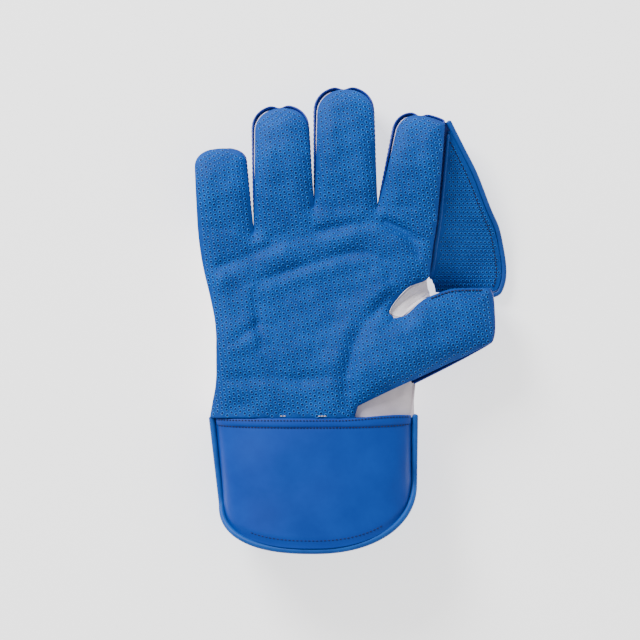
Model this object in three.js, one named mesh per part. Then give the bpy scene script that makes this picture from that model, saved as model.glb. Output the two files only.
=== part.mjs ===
// A wicketkeeping glove that lies on its back with the palm up.
// Millimetres, +Z up out of the palm, +Y towards the fingertips, +X towards the thumb.
// While it is drawn, x = 0 is the middle of the cuff and y = 0 is the wrist seam; the last lines
// move the whole glove so that its origin is the middle of its footprint.

import * as THREE from 'three';

// Hand
const handWidth = 164;
const palmLength = 130;
const wristHeight = 50;
const palmHeight = 43;
const knuckleHeight = 40;
const fingertipHeight = 31;
const wristShoulderDrop = 8;
const palmHollow = 3;
const thumbMound = 4;

// Fingers, each from the middle of its root to its tip
const littleWidth = 35.7;
const littleLength = 56.2;
const ringWidth = 39.6;
const ringLength = 78.8;
const middleWidth = 41.8;
const middleLength = 82.9;
const indexWidth = 35.4;
const indexLength = 65;
const fingertipPinch = 2.3;
const fingerArch = 3;

// Thumb
const thumbLength = 87.5;
const thumbWidth = 42;
const thumbAngle = THREE.MathUtils.degToRad(19.6);
const thumbTipBulge = 6;
const thumbTipDrop = 9;

// Walls, edges and seams
const facingThickness = 3;
const facingRollDepth = 4;
const facingRollWidth = 12;
const stallWall = 5;
const stallOverhang = 1.2;
const backWall = 6;
const backEdgeRadius = 15;
const gussetThickness = 1.6;
const gussetTuck = 3;
const crotchHeight = 24;
const seamGap = 0.3;

// Webbing between index finger and thumb
const webWidth = 48.5;
const webThickness = 3;
const webSag = 2;
const webCornerReach = 11.6;
const webCornerDrop = 4.2;
const webHeightAtFinger = 27;
const webHeightAtEdge = 8;
const webHeightAtThumb = 8;
const webBindingDiameter = 3.8;
const weltDiameter = 2.2;
const webGroove = 1.9;
const webStripWidth = 6.5;
const webStripThickness = 1.4;

// Cuff
const cuffLength = 92;
const cuffWidth = 142.8;
const cuffTaperLeft = 6.8;
const cuffTaperRight = 0.6;
const cuffRoundingLeft = 33;
const cuffRoundingRight = 48;
const cuffSeamHeight = 33;
const cuffMouthHeight = 64;
const cuffLip = 1;
const cuffPadding = 7;
const cuffPipingDiameter = 3.8;
const cuffBandWidth = 4.6;
const cuffBandThickness = 1.2;

// Blue pimpled rubber, blue leather, white leather, cuff leather and piping
const paint = (color, roughness) => new THREE.MeshStandardMaterial({ color, roughness, metalness: 0 });
const pimpleRubber = paint(0x2469ac, 0.8);
const blueLeather = paint(0x2a62c4, 0.45);
const whiteLeather = paint(0xd9d6da, 0.6);
const cuffLeather = paint(0x1f5fab, 0.4);
const pipingLeather = paint(0x1a63ae, 0.4);

const mix = (a, b, t) => a + (b - a) * t;
const mixPoint = (a, b, t) => [mix(a[0], b[0], t), mix(a[1], b[1], t)];
const smooth = (t) => THREE.MathUtils.smoothstep(t, 0, 1);
const bell = (distance, reach) => Math.exp(-((distance / reach) ** 2));

// A superellipse quarter: 1 in the middle, 0 at the edge, and squarer with a higher power
const dome = (v, power) => (1 - Math.min(Math.abs(v), 1) ** power) ** (1 / power);

// A smooth line through a table's points, read at 0 to 1
const throughPoints = (points) => {
  const curve = new THREE.SplineCurve(points.map(([x, y]) => new THREE.Vector2(x, y)));
  return (t) => curve.getPoint(t).toArray();
};

// A point beside a smooth line, on its right-hand side
const asideOf = (line, t, away) => {
  const [x, y] = line(t);
  const [nextX, nextY] = line(Math.min(1, t + 0.02));
  const [lastX, lastY] = line(Math.max(0, t - 0.02));
  const length = Math.hypot(nextX - lastX, nextY - lastY);
  return [x + (away * (nextY - lastY)) / length, y - (away * (nextX - lastX)) / length];
};

// Steps from -1 to 1 that crowd towards both ends, and steps from 0 to 1 that crowd towards 1
const crowdedSteps = (count) => Array.from({ length: count + 1 }, (unused, step) => {
  const even = mix(-1, 1, step / count);
  return mix(even, Math.sin((even * Math.PI) / 2), 0.75);
});
const stepsToTip = (count) => Array.from({ length: count + 1 }, (unused, step) => {
  const even = step / count;
  return mix(even, Math.sin((even * Math.PI) / 2), 0.7);
});

// The five ends of the finger roots, as shares of the hand's width and the palm's length
const rootEnds = [
  { x: -0.480, y: 1.000 },
  { x: -0.249, y: 0.970 },
  { x: 0.002, y: 1.108 },
  { x: 0.265, y: 1.102 },
  { x: 0.518, y: 1.112 },
].map(({ x, y }) => [x * handWidth, y * palmLength]);

// lean is sideways per length, rounding is the tip's as a share of the finger's width, cornerLift
// squares off its thumb-side corner, and the insets are how far the facing stays inside the stall
// near the tip, as shares of the finger's width
const fingers = [
  { name: 'little', width: littleWidth, length: littleLength, lean: -0.080, rounding: 0.33, cornerLift: 0.12,
    insetLeft: 0.01, insetRight: 0.03, insetTip: 0.02 },
  { name: 'ring', width: ringWidth, length: ringLength, lean: -0.039, rounding: 0.42, cornerLift: 0,
    insetLeft: 0.07, insetRight: 0.025, insetTip: 0.075 },
  { name: 'middle', width: middleWidth, length: middleLength, lean: -0.015, rounding: 0.43, cornerLift: 0,
    insetLeft: 0.07, insetRight: 0.025, insetTip: 0.07 },
  { name: 'index', width: indexWidth, length: indexLength, lean: 0.142, rounding: 0.45, cornerLift: 0.75,
    insetLeft: 0.09, insetRight: 0.015, insetTip: 0.07 },
];

// The sides of the palm from the knuckles to the wrist, as shares of the hand's width and the
// palm's length: the little finger's side, the facing's thumb side with the notch of the crotch,
// and the thumb side of the back
const palmRows = [
  { leftX: -0.480, leftY: 1.000, facingX: 0.518, facingY: 1.112, backX: 0.522, backY: 1.112 },
  { leftX: -0.473, leftY: 0.915, facingX: 0.505, facingY: 1.008, backX: 0.509, backY: 1.008 },
  { leftX: -0.463, leftY: 0.831, facingX: 0.491, facingY: 0.900, backX: 0.495, backY: 0.900 },
  { leftX: -0.450, leftY: 0.750, facingX: 0.482, facingY: 0.800, backX: 0.485, backY: 0.800 },
  { leftX: -0.434, leftY: 0.669, facingX: 0.468, facingY: 0.727, backX: 0.472, backY: 0.723 },
  { leftX: -0.420, leftY: 0.592, facingX: 0.398, facingY: 0.686, backX: 0.401, backY: 0.684 },
  { leftX: -0.408, leftY: 0.515, facingX: 0.344, facingY: 0.619, backX: 0.348, backY: 0.617 },
  { leftX: -0.402, leftY: 0.438, facingX: 0.312, facingY: 0.550, backX: 0.318, backY: 0.548 },
  { leftX: -0.401, leftY: 0.365, facingX: 0.329, facingY: 0.515, backX: 0.366, backY: 0.520 },
  { leftX: -0.401, leftY: 0.292, facingX: 0.299, facingY: 0.423, backX: 0.382, backY: 0.434 },
  { leftX: -0.401, leftY: 0.219, facingX: 0.265, facingY: 0.308, backX: 0.396, backY: 0.346 },
  { leftX: -0.406, leftY: 0.150, facingX: 0.226, facingY: 0.185, backX: 0.408, backY: 0.258 },
  { leftX: -0.416, leftY: 0.085, facingX: 0.183, facingY: 0.062, backX: 0.416, backY: 0.170 },
  { leftX: -0.428, leftY: 0.000, facingX: 0.169, facingY: 0.000, backX: 0.420, backY: 0.000 },
];
const lastRow = palmRows.length - 1;
const thumbRootRows = { first: 8, last: 12 };
const rowLine = (x, y) =>
  throughPoints(palmRows.map((row) => [row[x] * handWidth, row[y] * palmLength]));
const leftLine = rowLine('leftX', 'leftY');
const facingRightLine = rowLine('facingX', 'facingY');
const backRightLine = rowLine('backX', 'backY');

// The thumb's two sides from root to tip, as shares of its length and width
const thumbRows = [
  { lowerAlong: -0.250, lowerAcross: -0.564, upperAlong: 0.249, upperAcross: 0.567 },
  { lowerAlong: 0.046, lowerAcross: -0.500, upperAlong: 0.354, upperAcross: 0.538 },
  { lowerAlong: 0.320, lowerAcross: -0.452, upperAlong: 0.507, upperAcross: 0.669 },
  { lowerAlong: 0.537, lowerAcross: -0.412, upperAlong: 0.640, upperAcross: 0.700 },
  { lowerAlong: 0.686, lowerAcross: -0.386, upperAlong: 0.777, upperAcross: 0.681 },
  { lowerAlong: 0.864, lowerAcross: -0.340, upperAlong: 0.997, upperAcross: 0.529 },
];
const stallStart = { lower: 0.31, upper: 0.12 };
const facingStart = { lower: 0, upper: 0 };
const thumbAxis = [Math.cos(thumbAngle), Math.sin(thumbAngle)];
const thumbRoot = mixPoint(
  facingRightLine(thumbRootRows.first / lastRow),
  facingRightLine(thumbRootRows.last / lastRow),
  0.5,
);
const onThumb = (along, across) => [
  thumbRoot[0] + along * thumbLength * thumbAxis[0] - across * thumbWidth * thumbAxis[1],
  thumbRoot[1] + along * thumbLength * thumbAxis[1] + across * thumbWidth * thumbAxis[0],
];
const lowerThumbLine = throughPoints(thumbRows.map((row) => onThumb(row.lowerAlong, row.lowerAcross)));
const upperThumbLine = throughPoints(thumbRows.map((row) => onThumb(row.upperAlong, row.upperAcross)));

// Folds pressed into the palm, as shares of the hand's width and the palm's length
const foldSteps = 16;
const folds = [
  { depth: 2.4, width: 4.5, path: [[-0.40, 0.787], [-0.11, 0.929], [0.10, 0.997], [0.25, 1.021],
    [0.35, 0.987], [0.40, 0.934], [0.44, 0.861]] },
  { depth: 1.8, width: 4, path: [[-0.21, 0.719], [-0.06, 0.787], [0.14, 0.855], [0.25, 0.861],
    [0.30, 0.814], [0.32, 0.729]] },
  { depth: 3.2, width: 5, path: [[0.33, 0.619], [0.21, 0.488], [0.16, 0.341], [0.135, 0.189],
    [0.135, 0.068]] },
  { depth: 1.5, width: 4.5, path: [[-0.37, 0.210], [-0.14, 0.199], [0.10, 0.210]] },
  { depth: 1.3, width: 3.5, path: [[-0.243, 0.645], [-0.218, 0.368]] },
  { depth: 1.2, width: 3.5, path: [[-0.33, 0.394], [-0.235, 0.488]] },
  { depth: 1.2, width: 3.5, path: [[-0.18, 0.945], [-0.02, 1.008]] },
  { depth: 1.3, width: 3.5, path: [[0.30, 1.028], [0.40, 0.961], [0.46, 0.924]] },
].map((fold) => {
  const line = throughPoints(fold.path.map(([x, y]) => [x * handWidth, y * palmLength]));
  const points = Array.from({ length: foldSteps + 1 }, (unused, step) => line(step / foldSteps));
  return { depth: fold.depth, width: fold.width, points };
});

const distanceToSegment = ([x, y], [ax, ay], [bx, by]) => {
  const lengthSquared = (bx - ax) ** 2 + (by - ay) ** 2 || 1;
  const along = (x - ax) * (bx - ax) + (y - ay) * (by - ay);
  const share = THREE.MathUtils.clamp(along / lengthSquared, 0, 1);
  return Math.hypot(x - mix(ax, bx, share), y - mix(ay, by, share));
};
const distanceToSegments = (point, segments) =>
  Math.min(...segments.map(([a, b]) => distanceToSegment(point, a, b)));

// How far up its finger a point lies, from 0 at the knuckles to 1 at the tip
function fingerShare(x, y) {
  const index = [1, 2, 3].filter((end) => {
    const lean = (fingers[end - 1].lean + fingers[end].lean) / 2;
    return x > rootEnds[end][0] + lean * (y - rootEnds[end][1]);
  }).length;
  const [start, end] = [rootEnds[index], rootEnds[index + 1]];
  const across = THREE.MathUtils.clamp((x - start[0]) / (end[0] - start[0]), 0, 1);
  return THREE.MathUtils.clamp((y - mix(start[1], end[1], across)) / fingers[index].length, 0, 1);
}

// The height of the hand's front, before its edges roll down and the folds are pressed in
const heightProfile = throughPoints([
  [0, wristHeight],
  [1, mix(wristHeight, palmHeight, 0.2)],
  [2, palmHeight],
  [3, knuckleHeight],
  [4, knuckleHeight],
  [5, knuckleHeight],
]);
const thumbReach = onThumb(1, 0)[0] - backRightLine(1)[0];
function bodyHeight(x, y) {
  const station = THREE.MathUtils.clamp(y / (palmLength * 1.76), 0, 1);
  const fromHollow = Math.hypot(x - 0.05 * handWidth, y - 0.58 * palmLength);
  const fromMound = Math.hypot(x - 0.28 * handWidth, y - 0.27 * palmLength);
  const hollow = palmHollow * bell(fromHollow, 0.24 * handWidth);
  const mound = thumbMound * bell(fromMound, 0.13 * handWidth);
  const wrist = smooth(1 - y / (0.4 * palmLength));
  const shoulder = wristShoulderDrop * Math.abs((2.33 * x) / handWidth) ** 3 * wrist;
  const thumbShare = Math.max(0, (x - backRightLine(1)[0]) / thumbReach);
  const thumb = thumbTipDrop * thumbShare * smooth((0.9 - y / palmLength) * 4);
  const upFinger = fingerShare(x, y);
  const finger = fingerArch * Math.sin(Math.PI * upFinger)
    - (knuckleHeight - fingertipHeight) * upFinger ** 3;
  return heightProfile(station)[1] - hollow + mound - shoulder - thumb + finger;
}
const foldDepth = (x, y) => folds.reduce((sum, fold) => {
  const segments = fold.points.slice(1).map((point, step) => [fold.points[step], point]);
  return sum + fold.depth * bell(distanceToSegments([x, y], segments), fold.width);
}, 0);

// The height of the stalls' and the back's upper rim, which the facing's edge lies on
const rimBelowBody = facingRollDepth + facingThickness + seamGap;
const rimHeight = (x, y) => bodyHeight(x, y) - rimBelowBody;

// Plan blocks: rows of points, each row from the little finger's side to the thumb's side, and
// slide is the plan direction that a wall's inner face keeps to at a butted edge
function fingerBlock(finger, index, across, rows, isFacing) {
  const [start, end] = [rootEnds[index], rootEnds[index + 1]];
  const axis = [finger.lean, 1].map((part) => part / Math.hypot(finger.lean, 1));
  const middle = mixPoint(start, end, 0.5);
  const insetLeft = isFacing ? finger.insetLeft * finger.width : 0;
  const insetRight = isFacing ? finger.insetRight * finger.width : 0;
  const insetTip = isFacing ? finger.insetTip * finger.width : 0;
  const rounding = finger.rounding * finger.width;
  const shoulderAlong = finger.length - rounding - insetTip;
  const shoulder = (side, inset) => [
    middle[0] + axis[0] * shoulderAlong + side * (finger.width / 2 - inset) * axis[1],
    middle[1] + axis[1] * shoulderAlong - side * (finger.width / 2 - inset) * axis[0],
  ];
  const [left, right] = [shoulder(-1, insetLeft), shoulder(1, insetRight)];
  const pinch = isFacing ? 0 : fingertipPinch;
  const rootTurn = Math.atan2(end[1] - start[1], end[0] - start[0]);
  const slide = [Math.cos(rootTurn), Math.sin(rootTurn)];
  return stepsToTip(rows).map((along) => crowdedSteps(across).map((v) => {
    const root = mixPoint(start, end, (v + 1) / 2);
    const corner = (finger.cornerLift * (v + 1)) / 2;
    const rise = rounding * mix(dome(v, 2.2), 1, corner) - pinch * bell(v, 0.2);
    const shoulderPoint = mixPoint(left, right, (v + 1) / 2);
    const tip = [shoulderPoint[0] + axis[0] * rise, shoulderPoint[1] + axis[1] * rise];
    const point = mixPoint(root, tip, along);
    return along === 0 ? { point, slide } : { point };
  }));
}

// The direction from the upper to the lower end of the thumb's root
function thumbRootSlide(rightLine) {
  const upper = rightLine(thumbRootRows.first / lastRow);
  const lower = rightLine(thumbRootRows.last / lastRow);
  const length = Math.hypot(lower[0] - upper[0], lower[1] - upper[1]);
  return [(lower[0] - upper[0]) / length, (lower[1] - upper[1]) / length];
}

function palmBlock(across, rowsPerSection, rightLine) {
  const knuckles = fingers.flatMap((finger, index) => {
    const steps = crowdedSteps(across).slice(index === 0 ? 0 : 1);
    const [start, end] = [rootEnds[index], rootEnds[index + 1]];
    const turn = Math.atan2(end[1] - start[1], end[0] - start[0]);
    return steps.map((v) => ({ point: mixPoint(start, end, (v + 1) / 2), turn }));
  });
  const knuckleWidth = rootEnds[4][0] - rootEnds[0][0];
  const count = lastRow * rowsPerSection;
  const rows = Array.from({ length: count + 1 }, (unused, rowIndex) => {
    const down = rowIndex / count;
    const [left, right] = [leftLine(down), rightLine(down)];
    return knuckles.map(({ point, turn }, column) => {
      const isEnd = column === 0 || column === knuckles.length - 1;
      const crowded = (point[0] - rootEnds[0][0]) / knuckleWidth;
      const even = column / (knuckles.length - 1);
      const share = isEnd ? even : mix(crowded, mix(even, crowded, 0.4), smooth(down * 2));
      const straight = mixPoint(left, right, share);
      const top = mixPoint(leftLine(0), rightLine(0), crowded);
      const fade = (1 - smooth(down * 1.6)) * (isEnd && down > 0 ? 0 : 1);
      const moved = [straight[0] + (point[0] - top[0]) * fade, straight[1] + (point[1] - top[1]) * fade];
      const section = down * lastRow;
      if (rowIndex === 0) {
        return { point: moved, slide: [Math.cos(turn), Math.sin(turn)] };
      }
      if (rowIndex === count) {
        return { point: moved, slide: [1, 0] };
      }
      const isThumbEdge = column === knuckles.length - 1
        && section > thumbRootRows.first && section < thumbRootRows.last;
      return isThumbEdge ? { point: moved, slide: thumbRootSlide(rightLine) } : { point: moved };
    });
  });
  return rows.reverse();
}

function thumbBlock(across, rows, rightLine, rowsPerSection, startsAt, overhang) {
  const onRoot = (section) => {
    const from = Math.floor(section * rowsPerSection) / rowsPerSection;
    const to = Math.min(from + 1 / rowsPerSection, lastRow);
    const share = (section - from) * rowsPerSection;
    return mixPoint(rightLine(from / lastRow), rightLine(to / lastRow), share);
  };
  return Array.from({ length: across + 1 }, (unused, step) => {
    const up = step / across;
    const v = mix(-1, 1, up);
    const root = onRoot(mix(thumbRootRows.last, thumbRootRows.first, up));
    const start = mixPoint(lowerThumbLine(startsAt.lower), upperThumbLine(startsAt.upper), up);
    return stepsToTip(rows).map((along) => {
      const lower = lowerThumbLine(mix(startsAt.lower, 1, along));
      const upper = upperThumbLine(mix(startsAt.upper, 1, along));
      const base = mixPoint(lower, upper, up);
      const bulge = (thumbTipBulge + overhang) * dome(v, 3) * along ** 4;
      const aside = overhang * Math.min(v, 0) * along;
      const point = [
        base[0] + (root[0] - start[0]) * (1 - along) + thumbAxis[0] * bulge - thumbAxis[1] * aside,
        base[1] + (root[1] - start[1]) * (1 - along) + thumbAxis[1] * bulge + thumbAxis[0] * aside,
      ];
      return along === 0 ? { point, slide: thumbRootSlide(rightLine) } : { point };
    });
  });
}

// Two triangles for each cell of a grid of point numbers, cut so that no corner of the grid is
// left with a triangle of edge points alone
function gridFaces(ids) {
  const faces = [];
  const [topRow, rightColumn] = [ids.length - 1, ids[0].length - 1];
  for (let row = 1; row <= topRow; row += 1) {
    for (let column = 1; column <= rightColumn; column += 1) {
      const [a, b] = [ids[row - 1][column - 1], ids[row - 1][column]];
      const [c, d] = [ids[row][column], ids[row][column - 1]];
      const isCorner = (row === topRow && column === 1) || (row === 1 && column === rightColumn);
      faces.push(...(isCorner ? [[a, b, d], [b, c, d]] : [[a, b, c], [a, c, d]]));
    }
  }
  return faces;
}

// Joins blocks into one list of points and of faces that turn anticlockwise from above. Points
// are the same where they round alike; the uneven step keeps round sizes off a rounding edge.
const roundingStep = 0.00205213;
const keyOf = (numbers) => numbers.map((number) => Math.round(number / roundingStep)).join(',');
function weld(blocks) {
  const lookup = new Map();
  const vertices = [];
  const place = (vertex) => {
    const key = keyOf(vertex.point);
    if (!lookup.has(key)) {
      lookup.set(key, vertices.length);
      vertices.push({ ...vertex });
    }
    const found = vertices[lookup.get(key)];
    found.slide = found.slide || vertex.slide;
    return lookup.get(key);
  };
  const faces = [];
  for (const block of blocks) {
    faces.push(...gridFaces(block.map((row) => row.map(place))));
  }
  return { vertices, faces: faces.filter(([a, b, c]) => a !== b && b !== c && a !== c) };
}

function edgesUsedOnce(faces) {
  const edges = new Map();
  for (const [a, b, c] of faces) {
    for (const [from, to] of [[a, b], [b, c], [c, a]]) {
      if (!edges.delete(`${to},${from}`)) {
        edges.set(`${from},${to}`, [from, to]);
      }
    }
  }
  return [...edges.values()];
}

// A closed wall between an outer and an inner layer of the same faces; the outer layer faces out
function wallGeometry(outer, inner, faces) {
  const count = outer.length;
  const triangles = faces.flatMap(([a, b, c]) => [[a, b, c], [c + count, b + count, a + count]]);
  for (const [from, to] of edgesUsedOnce(faces)) {
    triangles.push([to, from, from + count]);
    triangles.push([to, from + count, to + count]);
  }
  const geometry = new THREE.BufferGeometry();
  geometry.setAttribute('position', new THREE.Float32BufferAttribute([...outer, ...inner].flat(), 3));
  geometry.setIndex(triangles.flat());
  geometry.computeVertexNormals();
  return geometry;
}

// Moves each point of a layer inwards by the wall's thickness, along its normal or, where it
// butts against a neighbour, along the part of the normal that stays in the butted face
function inwards(outer, faces, wall, slides = []) {
  const geometry = new THREE.BufferGeometry();
  geometry.setAttribute('position', new THREE.Float32BufferAttribute(outer.flat(), 3));
  geometry.setIndex(faces.flat());
  geometry.computeVertexNormals();
  const normals = geometry.getAttribute('normal');
  return outer.map((point, index) => {
    const normal = new THREE.Vector3().fromBufferAttribute(normals, index);
    if (slides[index]) {
      const [slideX, slideY] = slides[index];
      const along = normal.x * slideX + normal.y * slideY;
      normal.set(along * slideX, along * slideY, normal.z).normalize();
    }
    return [point[0] - normal.x * wall, point[1] - normal.y * wall, point[2] - normal.z * wall];
  });
}

const glove = new THREE.Group();
const hand = new THREE.Group();
glove.add(hand);
function addPiece(name, geometry, material) {
  const mesh = new THREE.Mesh(geometry, material);
  mesh.name = name;
  hand.add(mesh);
}

// Palm facing: one sheet over the palm, four fingers and thumb
const facingAcross = 6;
const facingPlan = weld([
  palmBlock(facingAcross, 2, facingRightLine),
  ...fingers.map((finger, index) => fingerBlock(finger, index, facingAcross, 9, true)),
  thumbBlock(8, 8, facingRightLine, 2, facingStart, 0),
]);
const isWristEdge = (a, b) => Math.max(a[1], b[1]) < 0.01 * palmLength;
const edgeSegments = (plan) => edgesUsedOnce(plan.faces)
  .map(([from, to]) => [plan.vertices[from].point, plan.vertices[to].point])
  .filter(([a, b]) => !isWristEdge(a, b));
const facingEdge = edgeSegments(facingPlan);
const facingTop = facingPlan.vertices.map(({ point: [x, y] }) => {
  const inside = Math.min(1, distanceToSegments([x, y], facingEdge) / facingRollWidth);
  const roll = facingRollDepth * (1 - inside) ** 2;
  return [x, y, bodyHeight(x, y) - roll - foldDepth(x, y) * smooth(inside)];
});
const facingUnder = facingTop.map(([x, y, z]) => [x, y, z - facingThickness]);
addPiece('palm_facing', wallGeometry(facingTop, facingUnder, facingPlan.faces), pimpleRubber);

// Stalls and back: their depth grows from the rim like a quarter circle and ends on the table
const backAcross = 8;
const backBlocks = {
  hand: palmBlock(backAcross, 1, backRightLine),
  thumb: thumbBlock(8, 8, backRightLine, 1, stallStart, stallOverhang),
};
fingers.forEach((finger, index) => {
  backBlocks[finger.name] = fingerBlock(finger, index, backAcross, 8, false);
});
const backEdge = edgeSegments(weld([
  palmBlock(backAcross, 2, backRightLine),
  ...fingers.map((finger) => backBlocks[finger.name]),
  thumbBlock(8, 8, backRightLine, 2, stallStart, stallOverhang),
]));
const isUnderWristGusset = (x, y) => (x > 0 ? smooth((0.27 - y / palmLength) * 12) : 0);
const wristGussetSeat = (x, y) => (gussetThickness + 3 * seamGap) * isUnderWristGusset(x, y);
const backRim = (x, y) => rimHeight(x, y) - wristGussetSeat(x, y);
function backSurface(point) {
  const inside = Math.min(1, distanceToSegments(point, backEdge) / backEdgeRadius);
  return backRim(...point) * (1 - dome(1 - inside, 2.1));
}
function backPiece(name, block, wall, material, liftedEnd) {
  const plan = weld([block]);
  const outer = plan.vertices.map(({ point: [x, y], slide }) => {
    const z = backSurface([x, y]);
    return [x, y, liftedEnd && slide ? Math.min(z, backRim(x, y) - wall) : z];
  });
  const faces = plan.faces.map(([a, b, c]) => [c, b, a]);
  const inner = inwards(outer, faces, wall, plan.vertices.map(({ slide }) => slide))
    .map(([x, y, z]) => [x, y, Math.min(z, backRim(x, y))]);
  addPiece(name, wallGeometry(outer, inner, faces), material);
}
const movedBlock = (block, [x, y]) => block.map((row) => row.map((vertex) => ({
  ...vertex,
  point: [vertex.point[0] + x, vertex.point[1] + y],
})));
backPiece('hand_back', backBlocks.hand, backWall, whiteLeather, true);
for (const finger of fingers) {
  const apart = [0, seamGap * 1.2];
  const block = movedBlock(backBlocks[finger.name], apart);
  backPiece(`${finger.name}_stall`, block, stallWall, blueLeather, false);
}
backPiece('thumb_stall', movedBlock(backBlocks.thumb, [seamGap, 0]), stallWall, blueLeather, false);

// A surface of two shares, across and along, that turn anticlockwise from outside
function gridSurface(acrossSteps, alongSteps, surface) {
  const points = alongSteps.flatMap((along) => acrossSteps.map((across) => surface(across, along)));
  const width = acrossSteps.length;
  const ids = alongSteps.map((unused, row) => acrossSteps.map((none, column) => row * width + column));
  return { points, faces: gridFaces(ids) };
}
const evenSteps = (count, from = 0, to = 1) =>
  Array.from({ length: count + 1 }, (unused, step) => mix(from, to, step / count));

// A wall over a surface; outerAway and innerAway say how far its two faces lie out from it
const asItIs = (point) => point;
function addSheet(name, surface, outerAway, innerAway, material, keepClear = asItIs) {
  const { points, faces, slides } = surface;
  const outer = inwards(points, faces, -outerAway, slides);
  const inner = inwards(points, faces, -innerAway, slides).map(keepClear);
  addPiece(name, wallGeometry(outer, inner, faces), material);
}

// A round cord along a line of points
function addCord(name, points, diameter, steps, sides, material) {
  const path = new THREE.CatmullRomCurve3(points.map((point) => new THREE.Vector3(...point)));
  const section = new THREE.Shape().absarc(0, 0, diameter / 2, 0, 2 * Math.PI);
  const settings = { steps, extrudePath: path, bevelEnabled: false, curveSegments: sides / 2 };
  addPiece(name, new THREE.ExtrudeGeometry(section, settings), material);
}

// White leather between the facing's thumb side and the back, above the cuff
const tuckedThumbEdge = (t) => {
  const [x, y] = lowerThumbLine(t);
  return [x - gussetTuck * thumbAxis[1], y + gussetTuck * thumbAxis[0]];
};
addSheet('wrist_gusset', gridSurface(evenSteps(6), evenSteps(5), (across, along) => {
  const facingSide = mixPoint(
    [facingRightLine(1)[0] - gussetTuck, facingRightLine(1)[1]],
    tuckedThumbEdge(stallStart.lower * along),
    smooth(along * 4),
  );
  const backSide = backRightLine(1 - (along * (lastRow - thumbRootRows.last)) / lastRow);
  const [x, y] = mixPoint(facingSide, backSide, across);
  return [x, y, rimHeight(x, y) - seamGap];
}), 0, -gussetThickness, whiteLeather);

// White leather in the crotch: it starts below the facing's notch and slopes down and outwards
const crotchWallSide = throughPoints([
  upperThumbLine(0.42), upperThumbLine(0.28), backRightLine(8 / lastRow), backRightLine(7 / lastRow),
  backRightLine(6 / lastRow), backRightLine(5 / lastRow), backRightLine(4.5 / lastRow),
]);
const crotchLowSide = throughPoints([
  upperThumbLine(0.47), mixPoint(upperThumbLine(0.47), facingRightLine(4.2 / lastRow), 0.5),
  facingRightLine(4.2 / lastRow),
].map(([x, y]) => [x + 4 * seamGap, y + 2 * seamGap]));
addSheet('crotch_gusset', gridSurface(evenSteps(6), evenSteps(10), (across, along) => {
  const wallSide = asideOf(crotchWallSide, along, 4 * seamGap);
  const [x, y] = mixPoint(wallSide, crotchLowSide(along), across);
  const top = rimHeight(...wallSide) - gussetThickness;
  return [x, y, mix(top, crotchHeight, across ** 0.8)];
}), gussetThickness, 0, whiteLeather);

// Webbing: its seam runs down the index finger's side to the crotch, its lower edge lies behind
// the thumb, and widths are shares of the web's width along the seam
const indexSide = backBlocks.index.map((row) => row[row.length - 1].point);
const indexSideAt = (share) => throughPoints(indexSide)(share);
const webSeam = throughPoints([
  ...[4, 3, 2, 1].map((row) => backRightLine(row / lastRow)),
  rootEnds[4], indexSideAt(0.3), indexSideAt(0.55), indexSideAt(1),
]);
const webWidths = [1.015, 0.976, 0.902, 0.788, 0.636, 0.400, 0.185, -0.045];
const webSeamClearance = weltDiameter + webGroove + 1.5 * seamGap;
const webCorner = [upperThumbLine(0.6), upperThumbLine(1)];
const webLeft = throughPoints([
  [webCorner[0][0], webCorner[0][1] + webCornerDrop * 0.29],
  [webSeam(0)[0] + webSeamClearance + webCornerReach * 0.15, webSeam(0)[1] - webCornerDrop * 1.07],
  ...webWidths.map((unused, row) => {
    const [x, y] = webSeam(row / (webWidths.length - 1));
    return [x + webSeamClearance, y];
  }),
]);
const bindingPoints = [
  [webCorner[1][0] + webCornerReach * 0.62, webCorner[1][1] - webCornerDrop],
  [webCorner[1][0] + webCornerReach, webCorner[1][1] - webCornerDrop * 0.43],
  ...webWidths.map((width, row) => {
    const [x, y] = webSeam(row / (webWidths.length - 1));
    return [x + webSeamClearance + width * webWidth, y - webSag * Math.sin(Math.PI * width)];
  }),
];
const bindingLine = throughPoints(bindingPoints);
const webRight = (along) => asideOf(bindingLine, along, -webBindingDiameter / 2 - 2 * seamGap);
const webHeight = (across, along) => {
  const atFinger = mix(webHeightAtThumb, webHeightAtFinger, smooth(along * 3));
  const edgeRise = mix(webHeightAtThumb, webHeightAtEdge, smooth(along * 4));
  const atEdge = mix(edgeRise, webHeightAtFinger, smooth((along - 0.3) / 0.7));
  return mix(atFinger, atEdge, across) - webSag * Math.sin(Math.PI * across) * Math.sin(Math.PI * along);
};
addSheet('web_panel', gridSurface(evenSteps(6), evenSteps(16, 0, 0.935), (across, along) => {
  const [x, y] = mixPoint(webLeft(along), webRight(along), across);
  return [x, y, webHeight(across, along)];
}), 0, -webThickness, pimpleRubber);
addCord('web_binding', evenSteps(20).map((along) => [
  ...bindingLine(along), webHeight(1, along) - webThickness / 2,
]), webBindingDiameter, 30, 8, blueLeather);
const alongSeam = (along) => (2 + along * (webWidths.length - 1)) / (webWidths.length + 1);
addCord('web_welt', evenSteps(12, 0.02, 0.92).map((along) => {
  const [x, y] = webSeam(along);
  const height = webHeight(0, alongSeam(along)) + 2 * seamGap;
  return [x + webGroove + weltDiameter / 2, y, height];
}), weltDiameter, 16, 6, blueLeather);

// The strip that sews the web to the index finger, below the groove and the web's edge
const stripSteps = evenSteps(12, alongSeam(0.1), 0.93);
addSheet('web_strip', gridSurface(evenSteps(2), stripSteps, (across, along) => {
  const [left, right] = [webLeft(along), webRight(along)];
  const length = Math.hypot(right[0] - left[0], right[1] - left[1]);
  const from = seamGap - webSeamClearance;
  const to = Math.min(from + webStripWidth, length * 0.8);
  const share = mix(from, to, across) / length;
  const [x, y] = mixPoint(left, right, share);
  return [x, y, webHeight(Math.max(0, share), along) - webThickness * 1.2 - seamGap];
}), 0, -webStripThickness, blueLeather);

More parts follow.
